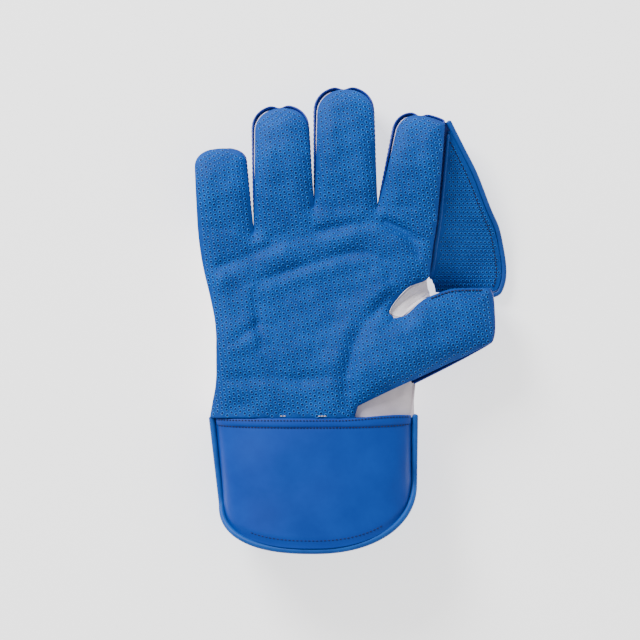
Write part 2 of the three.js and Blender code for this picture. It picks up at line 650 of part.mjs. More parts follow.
// Cuff: two padded flaps whose side edges meet at the seam height, the front one arched and the
// back one flat on the table. across runs from -1 to 1 and along from the wrist to the hem.
const cuffTop = seamGap;
function cuffPlan(across, along, inset) {
  const side = across < 0 ? cuffTaperLeft : cuffTaperRight;
  const half = cuffWidth / 2 - inset - side * along;
  const rounding = across < 0 ? cuffRoundingLeft : cuffRoundingRight;
  const hem = -(cuffLength - rounding) - (rounding - inset) * dome(across, across < 0 ? 2.45 : 2.2);
  return [across * half, mix(-cuffTop, hem, along)];
}
const frontCrown = (along) => mix(wristHeight + cuffLip, cuffMouthHeight, along);
const frontHeight = (across, along) => {
  const arch = dome(across, 2.3);
  return mix(cuffSeamHeight, frontCrown(along), arch) + seamGap / 2 + (1 - arch) * seamGap;
};
const backHeight = (across) =>
  Math.max(0, cuffSeamHeight * (1 - 1.06 * dome(across, 2.3)) - seamGap / 2);
const panelInset = cuffPipingDiameter + seamGap;
const cuffAcross = crowdedSteps(16);
const cuffRows = evenSteps(7).reverse();
const frontFlap = (across, along) => [...cuffPlan(across, along, panelInset), frontHeight(across, along)];
const backFlap = (across, along) => [...cuffPlan(across, along, panelInset), backHeight(across)];
const flapSlides = cuffRows.flatMap((along) => cuffAcross.map(() => (along % 1 === 0 ? [1, 0] : null)));
const frontGrid = { ...gridSurface(cuffAcross, cuffRows, frontFlap), slides: flapSlides };
addSheet('cuff_front', frontGrid, 0, -cuffPadding, cuffLeather, ([x, y, z]) => (
  [x, y, Math.max(z, cuffSeamHeight + seamGap / 2)]));
const backGrid = { ...gridSurface(cuffAcross, cuffRows, backFlap), slides: flapSlides };
backGrid.faces = backGrid.faces.map(([a, b, c]) => [c, b, a]);
addSheet('cuff_back', backGrid, 0, -cuffPadding, cuffLeather, ([x, y, z]) => (
  [x, y, Math.min(z, cuffSeamHeight - seamGap / 2)]));
const bandRows = [cuffTop + cuffBandWidth * 1.4, cuffTop + cuffBandWidth * 0.4].map((y) => y / cuffLength);
const bandGrid = gridSurface(cuffAcross.slice(1, -1), bandRows, frontFlap);
addSheet('cuff_band', bandGrid, cuffBandThickness + 2 * seamGap, 2 * seamGap, cuffLeather);

const cuffRim = [
  ...evenSteps(6, 0.02, 0.9).map((along) => [-1, along]),
  ...crowdedSteps(20).map((across) => [across, 1]),
  ...evenSteps(6, 0.9, 0.02).map((along) => [1, along]),
];
const pipingPath = (heightAt) => cuffRim.map(([across, along]) => [
  ...cuffPlan(across, along, cuffPipingDiameter / 2), heightAt(across, along),
]);
const pipingLift = cuffPipingDiameter / 2 + seamGap;
addCord('cuff_front_piping', pipingPath((across, along) => (
  frontHeight(across, along) + mix(pipingLift, -cuffPadding / 2, dome(across, 2.3)))
), cuffPipingDiameter, 44, 8, pipingLeather);
addCord('cuff_back_piping', pipingPath((across) => (
  backHeight(across) + mix(-pipingLift, cuffPadding / 2, dome(across, 2.3)))
), cuffPipingDiameter, 44, 8, pipingLeather);

// The origin is the middle of the glove's footprint, on the table
const box = new THREE.Box3().setFromObject(hand);
const centre = box.getCenter(new THREE.Vector3());
hand.position.set(-centre.x, -centre.y, -box.min.z);

export default glove;
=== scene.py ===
# %% [markdown]
# # A wicketkeeping glove
# A wicketkeeper's glove is a padded mitten with fingers: one sheet of pimpled rubber faces the
# palm, leather stalls hold the fingers, a web joins index finger and thumb, and a stiff cuff
# guards the wrist. It lies on its back here, with the palm up. Every piece below is a surface
# worked out with numpy from a few named sizes, so that the same formula gives a coarse or a
# fine mesh.

import bpy
import numpy as np
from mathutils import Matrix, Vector


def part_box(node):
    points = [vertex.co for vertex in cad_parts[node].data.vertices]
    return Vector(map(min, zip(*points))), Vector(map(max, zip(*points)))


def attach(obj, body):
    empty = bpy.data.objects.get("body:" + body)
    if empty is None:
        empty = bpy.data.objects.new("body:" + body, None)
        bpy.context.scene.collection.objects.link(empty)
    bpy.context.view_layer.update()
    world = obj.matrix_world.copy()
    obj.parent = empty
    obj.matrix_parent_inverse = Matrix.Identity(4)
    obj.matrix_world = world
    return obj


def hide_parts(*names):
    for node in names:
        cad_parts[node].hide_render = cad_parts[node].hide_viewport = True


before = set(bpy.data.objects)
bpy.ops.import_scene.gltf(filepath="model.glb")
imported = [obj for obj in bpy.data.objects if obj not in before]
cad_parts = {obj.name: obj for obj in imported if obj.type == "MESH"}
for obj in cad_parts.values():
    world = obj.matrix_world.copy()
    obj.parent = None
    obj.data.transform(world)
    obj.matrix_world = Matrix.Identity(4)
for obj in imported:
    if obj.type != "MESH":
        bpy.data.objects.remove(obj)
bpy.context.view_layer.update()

# %% [markdown]
# ## Named sizes
# A glove maker works from a few measures: the hand's width and length, each finger's width and
# length, and the thickness of leather and padding. Millimetres are easier to read than metres,
# so all shapes are worked out in millimetres and scaled once, when a mesh is made. While a
# shape is worked out, x = 0 is the cuff's middle and y = 0 is the wrist seam.

# %% Sizes of the hand, the walls, the web and the cuff
MILLIMETRE = 0.001
hand_width, palm_length = 164, 130
wrist_height, palm_height, knuckle_height, fingertip_height = 50, 43, 40, 31
wrist_shoulder_drop, palm_hollow, thumb_mound = 8, 3, 4
fingertip_pinch, finger_arch = 2.3, 3
thumb_length, thumb_width, thumb_turn = 87.5, 42, np.radians(19.6)
thumb_tip_bulge, thumb_tip_drop = 6, 9
facing_thickness, rubber_thickness = 3, 2
facing_roll_depth, facing_roll_width = 4, 12
stall_wall, stall_overhang, back_wall, back_edge_radius = 5, 1.2, 6, 15
back_rim_rounding = 1.5
gusset_thickness, gusset_tuck, seam_gap = 1.6, 3, 0.3
crotch_height, crotch_gusset_rise = 24, 5
web_width, web_thickness, web_sag = 48.5, 3, 2
web_corner_reach, web_corner_drop = 11.6, 4.2
web_height_at_finger, web_height_at_edge = 27, 8
web_height_at_thumb, web_height_at_notch = 8, 14
web_binding_diameter, welt_diameter, web_groove = 3.8, 2.2, 1.9
web_strip_width, web_strip_thickness = 6.5, 1.4
cuff_length, cuff_width, cuff_taper_left, cuff_taper_right = 92, 142.8, 6.8, 0.6
cuff_rounding_left, cuff_rounding_right, cuff_lip = 33, 48, 1
cuff_seam_height, cuff_mouth_height = 33, 64
cuff_padding, cuff_piping_diameter, cuff_piping_swell = 7, 3.8, 0.15
cuff_band_width, cuff_band_thickness, cuff_band_end_rise = 4.6, 1.2, 3.4
pimple_spacing, web_pimple_spacing = 3.5, 3.4

# %% Tables: fingers, palm rows, thumb rows and folds
root_ends = np.array([
    [-0.480, 1.000], [-0.249, 0.970], [0.002, 1.108], [0.265, 1.102], [0.518, 1.112],
]) * [hand_width, palm_length]
# name, width, length, sideways lean, the tip's rounding as a share of the width, how square the
# thumb-side corner is, and how far the facing stays in at left, right and tip
fingers = [
    ("little", 35.7, 56.2, -0.080, 0.33, 0.12, 0.01, 0.03, 0.02),
    ("ring", 39.6, 78.8, -0.039, 0.42, 0, 0.07, 0.025, 0.075),
    ("middle", 41.8, 82.9, -0.015, 0.43, 0, 0.07, 0.025, 0.07),
    ("index", 35.4, 65, 0.142, 0.45, 0.75, 0.09, 0.015, 0.07),
]
# left x and y, facing x and y, back x and y, as shares of the hand's width and palm's length
palm_rows = np.array([
    [-0.480, 1.000, 0.518, 1.112, 0.522, 1.112],
    [-0.473, 0.915, 0.510, 1.008, 0.509, 1.008],
    [-0.463, 0.831, 0.496, 0.900, 0.495, 0.900],
    [-0.450, 0.750, 0.486, 0.800, 0.485, 0.800],
    [-0.434, 0.669, 0.472, 0.727, 0.472, 0.723],
    [-0.420, 0.592, 0.398, 0.686, 0.401, 0.684],
    [-0.408, 0.515, 0.344, 0.619, 0.348, 0.617],
    [-0.402, 0.438, 0.312, 0.550, 0.318, 0.548],
    [-0.401, 0.365, 0.329, 0.515, 0.366, 0.520],
    [-0.401, 0.292, 0.299, 0.423, 0.382, 0.434],
    [-0.401, 0.219, 0.265, 0.308, 0.396, 0.346],
    [-0.406, 0.150, 0.226, 0.185, 0.408, 0.258],
    [-0.416, 0.085, 0.183, 0.062, 0.416, 0.170],
    [-0.428, 0.000, 0.169, 0.000, 0.420, 0.000],
]) * np.tile([hand_width, palm_length], 3)
last_row = len(palm_rows) - 1
thumb_root_rows = (8, 12)
# lower side along and across, upper side along and across, as shares of length and width
thumb_rows = np.array([
    [-0.250, -0.564, 0.249, 0.567],
    [0.046, -0.500, 0.354, 0.538],
    [0.320, -0.452, 0.507, 0.669],
    [0.537, -0.412, 0.640, 0.700],
    [0.686, -0.386, 0.777, 0.681],
    [0.864, -0.340, 0.997, 0.529],
])
# depth, width, height of the ridge beside it, and the path as shares of width and length
folds = [
    (2.4, 4.5, 1.0, [[-0.40, 0.787], [-0.11, 0.929], [0.10, 0.997], [0.25, 1.021],
                     [0.35, 0.987], [0.40, 0.934], [0.44, 0.861]]),
    (1.8, 4.0, 0.8, [[-0.21, 0.719], [-0.06, 0.787], [0.14, 0.855], [0.25, 0.861],
                     [0.30, 0.814], [0.32, 0.729]]),
    (3.2, 5.0, 0.8, [[0.33, 0.619], [0.21, 0.488], [0.16, 0.341], [0.135, 0.189],
                     [0.135, 0.068]]),
    (1.5, 4.5, 0.4, [[-0.37, 0.210], [-0.14, 0.199], [0.10, 0.210]]),
    (1.3, 3.5, 0.4, [[-0.243, 0.645], [-0.218, 0.368]]),
    (1.2, 3.5, 0.4, [[-0.33, 0.394], [-0.235, 0.488]]),
    (1.2, 3.5, 0.4, [[-0.18, 0.945], [-0.02, 1.008]]),
    (1.3, 3.5, 0.4, [[0.30, 1.028], [0.40, 0.961], [0.46, 0.924]]),
]
print(len(fingers), "fingers,", last_row, "palm sections,", len(folds), "folds")

# %% [markdown]
# ## Small formulas
# Almost every curve on the glove is one of four: a blend between two values, a smooth step, a
# bell for a dent, and a superellipse for a rounded end. A spline through a short table makes
# the long outlines. Each works on whole arrays at once, which is what keeps the script quick.


# %% Blend, smooth step, bell, dome and spline
def mix(a, b, t):
    """Straight blend: a at t = 0, b at t = 1."""
    return a + (b - a) * t


def smooth(t):
    """Smooth step: 3t squared minus 2t cubed, held at 0 and 1 outside."""
    t = np.clip(t, 0, 1)
    return t * t * (3 - 2 * t)


def bell(distance, reach):
    """Bell: e to the minus (distance over reach) squared."""
    return np.exp(-((distance / reach) ** 2))


def dome(v, power):
    """Superellipse quarter: (1 minus |v| to the power) to the 1 over power."""
    return (1 - np.minimum(np.abs(v), 1) ** power) ** (1 / power)


def spline(points):
    """Smooth line through a table: on each stretch a cubic that meets its two points with
    slopes of half the distance between their neighbours. Returns a function of t, 0 to 1."""
    points = np.asarray(points, float)
    last = len(points) - 1

    def line(t):
        place = np.clip(np.asarray(t, float), 0, 1) * last
        k = np.floor(place).astype(int)
        w = (place - k)[..., None]
        before, here = points[np.maximum(k - 1, 0)], points[k]
        ahead, beyond = points[np.minimum(k + 1, last)], points[np.minimum(k + 2, last)]
        slope, next_slope = (ahead - before) / 2, (beyond - here) / 2
        cubic = (2 * here - 2 * ahead + slope + next_slope) * w**3
        square = (3 * ahead - 3 * here - 2 * slope - next_slope) * w**2
        return cubic + square + slope * w + here

    return line


# %% Points beside a line, and crowded steps
def aside_of(line, t, away):
    """Points beside a line, on its right-hand side: the line's direction turned clockwise."""
    run = line(np.minimum(1, t + 0.02)) - line(np.maximum(0, t - 0.02))
    run = run / np.linalg.norm(run, axis=-1, keepdims=True)
    return line(t) + away * np.stack([run[..., 1], -run[..., 0]], -1)


def crowded_steps(count):
    """Steps from -1 to 1 that crowd towards both ends: a quarter even, three quarters sine."""
    even = np.linspace(-1, 1, count + 1)
    return mix(even, np.sin(even * np.pi / 2), 0.75)


def steps_to_tip(count):
    """Steps from 0 to 1 that crowd towards 1."""
    even = np.linspace(0, 1, count + 1)
    return mix(even, np.sin(even * np.pi / 2), 0.7)


# %% Side lines of the hand and the thumb
left_line = spline(palm_rows[:, 0:2])
facing_right_line = spline(palm_rows[:, 2:4])
back_right_line = spline(palm_rows[:, 4:6])
thumb_axis = np.array([np.cos(thumb_turn), np.sin(thumb_turn)])
thumb_side = np.array([-thumb_axis[1], thumb_axis[0]])
thumb_root = (
    facing_right_line(thumb_root_rows[0] / last_row)
    + facing_right_line(thumb_root_rows[1] / last_row)
) / 2


def on_thumb(along, across):
    """The thumb's root plus shares of its length along it and of its width across it."""
    return (
        thumb_root
        + np.multiply.outer(along, thumb_length * thumb_axis)
        + np.multiply.outer(across, thumb_width * thumb_side)
    )


lower_thumb_line = spline(on_thumb(thumb_rows[:, 0], thumb_rows[:, 1]))
upper_thumb_line = spline(on_thumb(thumb_rows[:, 2], thumb_rows[:, 3]))
print("thumb root at", thumb_root.round(1), "mm")

# %% [markdown]
# ## The plan of the hand
# A pattern cutter draws the glove flat first. The plan is made of blocks, each a grid of rows
# and columns: one for the palm, one for each finger and one for the thumb. Neighbouring blocks
# share their edge points, so they can be joined afterwards into one sheet without a seam.


# %% Plan of a finger
def finger_plan(index, v, along, is_facing):
    """Straight blend from the root line to the tip line; the tip line is a superellipse dome
    across the finger's end, pinched in its middle on the stalls. The facing's left side stays
    in by a square root of the way up."""
    _, width, length, lean, tip_share, corner_lift, *insets = fingers[index]
    rounding = tip_share * width
    start, end = root_ends[index], root_ends[index + 1]
    axis = np.array([lean, 1]) / np.hypot(lean, 1)
    side = np.array([axis[1], -axis[0]])
    shares = np.array(insets) * width * is_facing
    shoulder = (start + end) / 2 + axis * (length - rounding - shares[2])
    left = shoulder - side * (width / 2 - shares[0])
    right = shoulder + side * (width / 2 - shares[1])
    pinch = 0 if is_facing else fingertip_pinch
    end_line = mix(dome(v, 2.2), 1, corner_lift * (v + 1) / 2)
    rise = rounding * end_line - pinch * bell(v, 0.2)
    share = ((v + 1) / 2)[:, None]
    tip = mix(left, right, share) + axis * rise[:, None]
    plan = mix(mix(start, end, share), tip, along[:, None, None])
    held_in = (np.sqrt(along) - along)[:, None, None] * (1 - share) * shares[0]
    return plan + held_in * side * (index > 0)


# %% Plan of the palm
def palm_plan(across, rows_per_section, right_line):
    """Rows from the wrist to the knuckles, each a blend from the left line to the right line;
    the upper rows bend into the knuckle line, which runs through the finger roots."""
    v = crowded_steps(across)
    knuckles = [mix(root_ends[i], root_ends[i + 1], (v[i > 0 :, None] + 1) / 2) for i in range(4)]
    knuckles = np.concatenate(knuckles)
    crowded = (knuckles[:, 0] - root_ends[0, 0]) / (root_ends[4, 0] - root_ends[0, 0])
    even = np.linspace(0, 1, len(knuckles))
    count = last_row * rows_per_section
    down = (np.arange(count + 1) / count)[:, None]
    share = mix(crowded, mix(even, crowded, 0.4), smooth(down * 2))[..., None]
    left, right = left_line(down), right_line(down)
    top = mix(left_line(0), right_line(0), crowded[:, None])
    fade = np.repeat(1 - smooth(down * 1.6), len(knuckles), axis=1)
    fade[:, [0, -1]] = np.clip(1 - down * last_row, 0, 1)
    plan = mix(left, right, share) + (knuckles - top) * fade[..., None]
    return plan[::-1]


# %% Plan of the thumb
def thumb_plan(across, rows, right_line, rows_per_section, starts_at, overhang):
    """Straight blend from the thumb's lower to its upper line, shifted so that its root meets
    the hand's edge, with a superellipse bulge at the tip."""
    up = np.linspace(0, 1, across + 1)
    along = steps_to_tip(rows)
    section = mix(thumb_root_rows[1], thumb_root_rows[0], up)
    low = np.floor(section * rows_per_section + 1e-9) / rows_per_section
    high = np.minimum(low + 1 / rows_per_section, last_row)
    share = ((section - low) * rows_per_section)[:, None]
    root = mix(right_line(low / last_row), right_line(high / last_row), share)
    start = mix(lower_thumb_line(starts_at[0]), upper_thumb_line(starts_at[1]), up[:, None])
    lower = lower_thumb_line(mix(starts_at[0], 1, along))
    upper = upper_thumb_line(mix(starts_at[1], 1, along))
    base = mix(lower[None], upper[None], up[:, None, None])
    v = (2 * up - 1)[:, None]
    bulge = (thumb_tip_bulge + overhang) * dome(v, 3) * along**4
    aside = overhang * np.minimum(v, 0) * along
    moved = (root - start)[:, None] * (1 - along)[:, None]
    return base + moved + bulge[..., None] * thumb_axis + aside[..., None] * thumb_side


# %% Faces of a grid, joined grids and their outline
def grid_faces(rows, columns, first=0):
    """Quads of a grid that turn anticlockwise where columns run right and rows run up."""
    ids = first + np.arange(rows * columns).reshape(rows, columns)
    corners = [ids[:-1, :-1], ids[:-1, 1:], ids[1:, 1:], ids[1:, :-1]]
    return np.stack(corners, -1).reshape(-1, 4)


def weld(blocks, rounding=0.0205213):
    """Joins grids into one list of points: points that round to the same step become one."""
    points = np.concatenate([block.reshape(-1, block.shape[-1]) for block in blocks])
    firsts = np.cumsum([0] + [block.shape[0] * block.shape[1] for block in blocks])
    faces = [grid_faces(*block.shape[:2], first) for block, first in zip(blocks, firsts)]
    keys = np.round(points / rounding).astype(np.int64)
    _, kept, number = np.unique(keys, axis=0, return_index=True, return_inverse=True)
    faces = number.reshape(-1)[np.concatenate(faces)]
    whole = (np.sort(faces, 1)[:, 1:] != np.sort(faces, 1)[:, :-1]).all(1)
    return points[kept], faces[whole]


def outline_of(faces):
    """Edges that belong to one face alone, in the direction in which that face turns."""
    ends = np.concatenate([np.stack([faces[:, i], faces[:, (i + 1) % 4]], 1) for i in range(4)])
    size = faces.max() + 1
    key = np.sort(ends, 1) @ [size, 1]
    _, number, uses = np.unique(key, return_inverse=True, return_counts=True)
    return ends[uses[number.reshape(-1)] == 1]


# %% The facing's plan
FINE_ACROSS, FINE_ROWS, FINE_LENGTH, THUMB_LENGTH_STEPS = 34, 9, 60, 72
finger_v, finger_along = crowded_steps(FINE_ACROSS), steps_to_tip(FINE_LENGTH)
thumb_across = FINE_ROWS * (thumb_root_rows[1] - thumb_root_rows[0])
facing_plan, facing_faces = weld(
    [palm_plan(FINE_ACROSS, FINE_ROWS, facing_right_line)]
    + [finger_plan(i, finger_v, finger_along, True) for i in range(4)]
    + [thumb_plan(thumb_across, THUMB_LENGTH_STEPS, facing_right_line, FINE_ROWS, (0, 0), 0)]
)
print("the facing's plan has", len(facing_plan), "points")

# %% [markdown]
# ## The height of the palm
# The palm's surface is a height above the table. It falls from the wrist to the fingertips,
# dips in the middle of the palm and swells at the ball of the thumb. Near its outline the
# facing rolls down, and folds are bell-shaped furrows with a low ridge on one side, where the
# rubber bunches up.


# %% Distance to an outline
def distance_to(segments, points):
    """Shortest distance from each point to a set of straight segments, and the side that it
    lies on: the foot of the perpendicular is held between the segment's ends."""
    start, run = segments[:, 0], segments[:, 1] - segments[:, 0]
    length = np.maximum((run**2).sum(1), 1e-9)
    distances, sides = [], []
    for part in np.array_split(points, len(points) * len(start) // 3_000_000 + 1):
        away = part[:, None] - start
        share = np.clip((away * run).sum(2) / length, 0, 1)
        gap = ((away - share[..., None] * run) ** 2).sum(2)
        nearest = gap.argmin(1)
        row = np.arange(len(part))
        distances.append(np.sqrt(gap[row, nearest]))
        offset = away[row, nearest]
        turn = run[nearest, 0] * offset[:, 1] - run[nearest, 1] * offset[:, 0]
        sides.append(np.sign(turn))
    return np.concatenate(distances), np.concatenate(sides)


def segments_of(points, edges, without_wrist=True):
    """Pairs of end points; the wrist edge, which is sewn to the cuff, can be left out."""
    pairs = points[edges]
    wrist = pairs[..., 1].max(1) < 0.01 * palm_length
    return pairs[~wrist] if without_wrist else pairs


# %% Body height
height_profile = spline(np.stack([
    np.arange(6),
    [wrist_height, mix(wrist_height, palm_height, 0.2), palm_height, knuckle_height,
     knuckle_height, knuckle_height],
], 1))
back_right_top = back_right_line(1)[0]
thumb_reach = on_thumb(1, 0)[0] - back_right_top


def finger_share(x, y):
    """How far up its finger a point lies: height above the root line over the finger's length."""
    leans, lengths = np.array([[finger[3], finger[2]] for finger in fingers]).T
    ends = root_ends[1:4]
    between = (leans[:-1] + leans[1:]) / 2
    limits = ends[:, 0] + between * (y[..., None] - ends[:, 1])
    index = (x[..., None] > limits).sum(-1)
    start, end = root_ends[index], root_ends[index + 1]
    across = np.clip((x - start[..., 0]) / (end[..., 0] - start[..., 0]), 0, 1)
    root = mix(start[..., 1], end[..., 1], across)
    return np.clip((y - root) / lengths[index], 0, 1)


def body_height(x, y):
    """Spline from wrist to fingertips, minus a bell for the palm's hollow, plus one for the
    ball of the thumb, minus rounded shoulders at the wrist and a slope along the thumb; each
    finger adds a half sine wave and falls off with the cube of the way to its tip."""
    station = np.clip(y / (palm_length * 1.76), 0, 1)
    from_hollow = np.hypot(x - 0.05 * hand_width, y - 0.58 * palm_length)
    from_mound = np.hypot(x - 0.28 * hand_width, y - 0.27 * palm_length)
    hollow = palm_hollow * bell(from_hollow, 0.24 * hand_width)
    mound = thumb_mound * bell(from_mound, 0.13 * hand_width)
    wrist = smooth(1 - y / (0.4 * palm_length))
    shoulder = wrist_shoulder_drop * np.abs(2.33 * x / hand_width) ** 3 * wrist
    thumb_share = np.maximum(0, (x - back_right_top) / thumb_reach)
    thumb = thumb_tip_drop * thumb_share * smooth((0.9 - y / palm_length) * 4)
    up_finger = finger_share(x, y)
    finger = finger_arch * np.sin(np.pi * up_finger)
    finger = finger - (knuckle_height - fingertip_height) * up_finger**3
    return height_profile(station)[..., 1] - hollow + mound - shoulder - thumb + finger


# %% Folds and waves
def fold_relief(points):
    """For each fold a bell-shaped furrow along its path, and a wider, lower bell beside it."""
    relief = np.zeros(len(points))
    for depth, width, ridge, path in folds:
        line = spline(np.array(path) * [hand_width, palm_length])(np.linspace(0, 1, 33))
        away, side = distance_to(np.stack([line[:-1], line[1:]], 1), points)
        uneven = 0.85 + 0.3 * np.sin(0.13 * points[:, 0] + 0.09 * points[:, 1] + 1.0)
        relief += uneven * ridge * bell(away * -side - 1.9 * width, 1.3 * width)
        relief -= uneven * depth * bell(away, width)
    return relief


def undulation(x, y):
    """Low waves of three lengths and directions that cross each other: handled rubber."""
    long_wave = np.sin(0.115 * x + 0.06 * y + 0.7) * np.sin(0.05 * x - 0.135 * y + 2.1)
    middle_wave = np.sin(0.27 * x - 0.16 * y + 1.3) * np.sin(0.12 * x + 0.24 * y)
    short_wave = np.sin(0.55 * x + 0.35 * y) * np.sin(0.31 * x - 0.62 * y + 0.4)
    return 0.55 * long_wave + 0.34 * middle_wave + 0.1 * short_wave


# %% The facing's surface and its place in the frame
facing_outline = outline_of(facing_faces)
facing_edge = segments_of(facing_plan, facing_outline)


def facing_height(points):
    """Body height minus the roll-down near the edge, with folds and waves that fade there."""
    x, y = points.T
    inside = np.minimum(1, distance_to(facing_edge, points)[0] / facing_roll_width)
    roll = facing_roll_depth * (1 - inside) ** 2
    relief = (fold_relief(points) + undulation(x, y)) * smooth(inside)
    return body_height(x, y) - roll + relief


facing_top = np.column_stack([facing_plan, facing_height(facing_plan)])
shift = np.array(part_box("palm_facing")[0]) / MILLIMETRE - facing_top.min(0)
shift[2] = 0
print("the drawing moves by", shift.round(2), "mm into the frame")

# %% [markdown]
# ## From surfaces to meshes
# A surface has no thickness, but leather and padding do. A wall is two layers of the same
# faces, one turned over, joined around the outline. The join can bulge outwards, which turns a
# hard cut edge into a rounded one. Blender's Solidify modifier does much the same; working it
# out here keeps butted edges straight and open rims soft.


# %% A wall with a rounded rim
def normals_of(points, faces):
    """Sum of the area vectors of the faces around each point, made one unit long."""
    across = points[faces[:, 2]] - points[faces[:, 0]]
    along = points[faces[:, 3]] - points[faces[:, 1]]
    area = np.cross(across, along)
    total = np.zeros_like(points)
    for corner in range(4):
        np.add.at(total, faces[:, corner], area)
    return total / np.maximum(np.linalg.norm(total, axis=1, keepdims=True), 1e-12)


def half_wave(steps):
    """Shares of the way across a rim and how far it bulges there: half a cosine, half a sine."""
    turn = np.pi * np.arange(1, steps) / steps
    return list(zip((1 - np.cos(turn)) / 2, np.sin(turn)))


def wall_of(outer, inner, faces, bulge=None, section=None):
    """Two layers and a strip around their outline; across the strip the points run from the
    outer to the inner layer, and bulge as the section says."""
    count = len(outer)
    points, quads = [outer, inner], [faces, faces[:, ::-1] + count]
    edges = outline_of(faces)
    rim, number = np.unique(edges, return_inverse=True)
    number = number.reshape(edges.shape)
    layers = [rim]
    section = [] if bulge is None else (section or half_wave(4))
    for step, (share, rise) in enumerate(section):
        points.append(mix(outer[rim], inner[rim], share) + bulge[rim] * rise)
        layers.append(2 * count + step * len(rim) + np.arange(len(rim)))
    layers.append(rim + count)
    for above, below in zip(layers[:-1], layers[1:]):
        start, end = number[:, 0], number[:, 1]
        quads.append(np.stack([above[end], above[start], below[start], below[end]], 1))
    return np.concatenate(points), np.concatenate(quads)


def rim_directions(points, faces):
    """At each outline point the direction that points out of the sheet, in plan: the outline's
    own direction turned clockwise."""
    edges = outline_of(faces)
    run = points[edges[:, 1], :2] - points[edges[:, 0], :2]
    out = np.zeros((len(points), 2))
    turned = np.stack([run[:, 1], -run[:, 0]], 1)
    np.add.at(out, edges[:, 0], turned)
    np.add.at(out, edges[:, 1], turned)
    return out / np.maximum(np.linalg.norm(out, axis=1, keepdims=True), 1e-12)


# %% [markdown]
# A roll, such as piping or a welt, is leather wrapped round a string. Blender's curve object
# with a bevel makes one too; here a circle is carried along the path, so that the roll's ends
# can be closed and its section flattened where it is pressed.


# %% A roll along a path
def tube_of(path, radius, sides=14, flat=1.0, up=(0, 0, 1)):
    """A circle carried along a path: radius times cosine sideways and sine upwards at each
    point, with both ends closed by a small cap."""
    run = np.gradient(path, axis=0)
    run /= np.linalg.norm(run, axis=1, keepdims=True)
    side = np.cross(run, np.asarray(up, float))
    side /= np.linalg.norm(side, axis=1, keepdims=True)
    lift = np.cross(side, run)
    turn = np.linspace(0, 2 * np.pi, sides, endpoint=False)
    radius = np.broadcast_to(radius, (len(path),))[:, None, None]
    ring = np.cos(turn)[None, :, None] * side[:, None] * radius
    ring = ring + np.sin(turn)[None, :, None] * lift[:, None] * radius * flat
    rings = path[:, None] + ring
    # each cap is a half-size ring and a closed one, that stand out by shares of the radius
    closing, standing_out = (0.5, 0.999), np.array([0.35, 0.5])[:, None, None]
    caps = np.array([mix(rings[0], path[0], share) for share in closing])
    caps = (caps - run[0] * standing_out * radius[0])[::-1]
    ends = np.array([mix(rings[-1], path[-1], share) for share in closing])
    ends = ends + run[-1] * standing_out * radius[-1]
    rings = np.concatenate([caps, rings, ends])
    count = len(rings)
    ids = np.arange(count * sides).reshape(count, sides)
    ids = np.concatenate([ids, ids[:, :1]], 1)
    corners = [ids[:-1, :-1], ids[1:, :-1], ids[1:, 1:], ids[:-1, 1:]]
    quads = np.stack(corners, -1).reshape(-1, 4)
    return rings.reshape(-1, 3), quads


# %% From points to a piece
def print_length(path):
    """Length of a sewn roll or cord: the sum of its steps."""
    length = np.linalg.norm(np.diff(path, axis=0), axis=1).sum()
    print(f"    a roll {length:.0f} mm long")


def add_piece(name, points, quads, material, slot, nodes=(), shade=None, sharp=None):
    """Makes a mesh object at the origin from points in drawing millimetres."""
    mesh = bpy.data.meshes.new(name)
    place = (points + shift) * MILLIMETRE
    mesh.from_pydata(place.tolist(), [], quads.tolist())
    mesh.polygons.foreach_set("use_smooth", np.ones(len(mesh.polygons), bool))
    if shade is not None:
        layer = mesh.attributes.new("shade", "FLOAT", "POINT")
        layer.data.foreach_set("value", shade.astype(np.float32))
    if sharp is not None:
        mesh.set_sharp_from_angle(angle=np.radians(sharp))
    mesh.materials.append(material)
    mesh.update()
    piece = bpy.data.objects.new(name, mesh)
    bpy.context.scene.collection.objects.link(piece)
    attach(piece, "root")
    if nodes:
        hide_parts(*nodes)
    area = sum(face.area for face in mesh.polygons) / 2
    print(f"{name}: {len(mesh.vertices)} points, {len(mesh.polygons)} faces, {area:.5f} m2")
    return piece


# %% [markdown]
# ## Materials
# Nothing on the glove is one flat colour. The rubber is matt and a little cloudy, with pale
# pimples on a darker ground; the leather has a fine grain, a soft sheen and faint mottling.
# Each material mixes two close colours with a slow noise, and bends the light with a fast one.
# Object coordinates keep the grain at its real size on every piece.


# %% Colour and node helpers
def srgb(red, green, blue):
    """Screen colour, 0 to 255, to the linear light that shaders work in."""
    share = np.array([red, green, blue]) / 255
    linear = np.where(share <= 0.04045, share / 12.92, ((share + 0.055) / 1.055) ** 2.4)
    return (*linear.tolist(), 1.0)


def add_node(tree, kind, **values):
    """A shader node of a kind, with values set on its sockets by their names."""
    node = tree.nodes.new("ShaderNode" + kind)
    for name, value in values.items():
        node.inputs[name.replace("_", " ")].default_value = value
    return node


def add_mix(tree, blend, **values):
    """A node that blends two colours, straight or by multiplying them."""
    node = tree.nodes.new("ShaderNodeMix")
    node.data_type = "RGBA"
    node.blend_type = blend
    for name, value in values.items():
        node.inputs[name].default_value = value
    return node


# %% Painted shade in the dimples, and fine grain
def shaded(tree, colour, shade_colours):
    """Paints shade: multiplies a colour by a ramp that reads each point's painted shade, 0 to 1."""
    # the attribute node is called height, but it reads the painted shade
    height = add_node(tree, "Attribute")
    height.attribute_name = "shade"
    ramp = add_node(tree, "ValToRGB")
    stops = ramp.color_ramp.elements
    stops[0].color, stops[1].color = shade_colours[0], shade_colours[-1]
    for number, stop in enumerate(shade_colours[1:-1], start=1):
        stops.new(number / (len(shade_colours) - 1)).color = stop
    tree.links.new(height.outputs["Fac"], ramp.inputs["Fac"])
    both = add_mix(tree, "MULTIPLY", Factor=1.0)
    tree.links.new(colour, both.inputs["A"])
    tree.links.new(ramp.outputs["Color"], both.inputs["B"])
    return both.outputs["Result"]


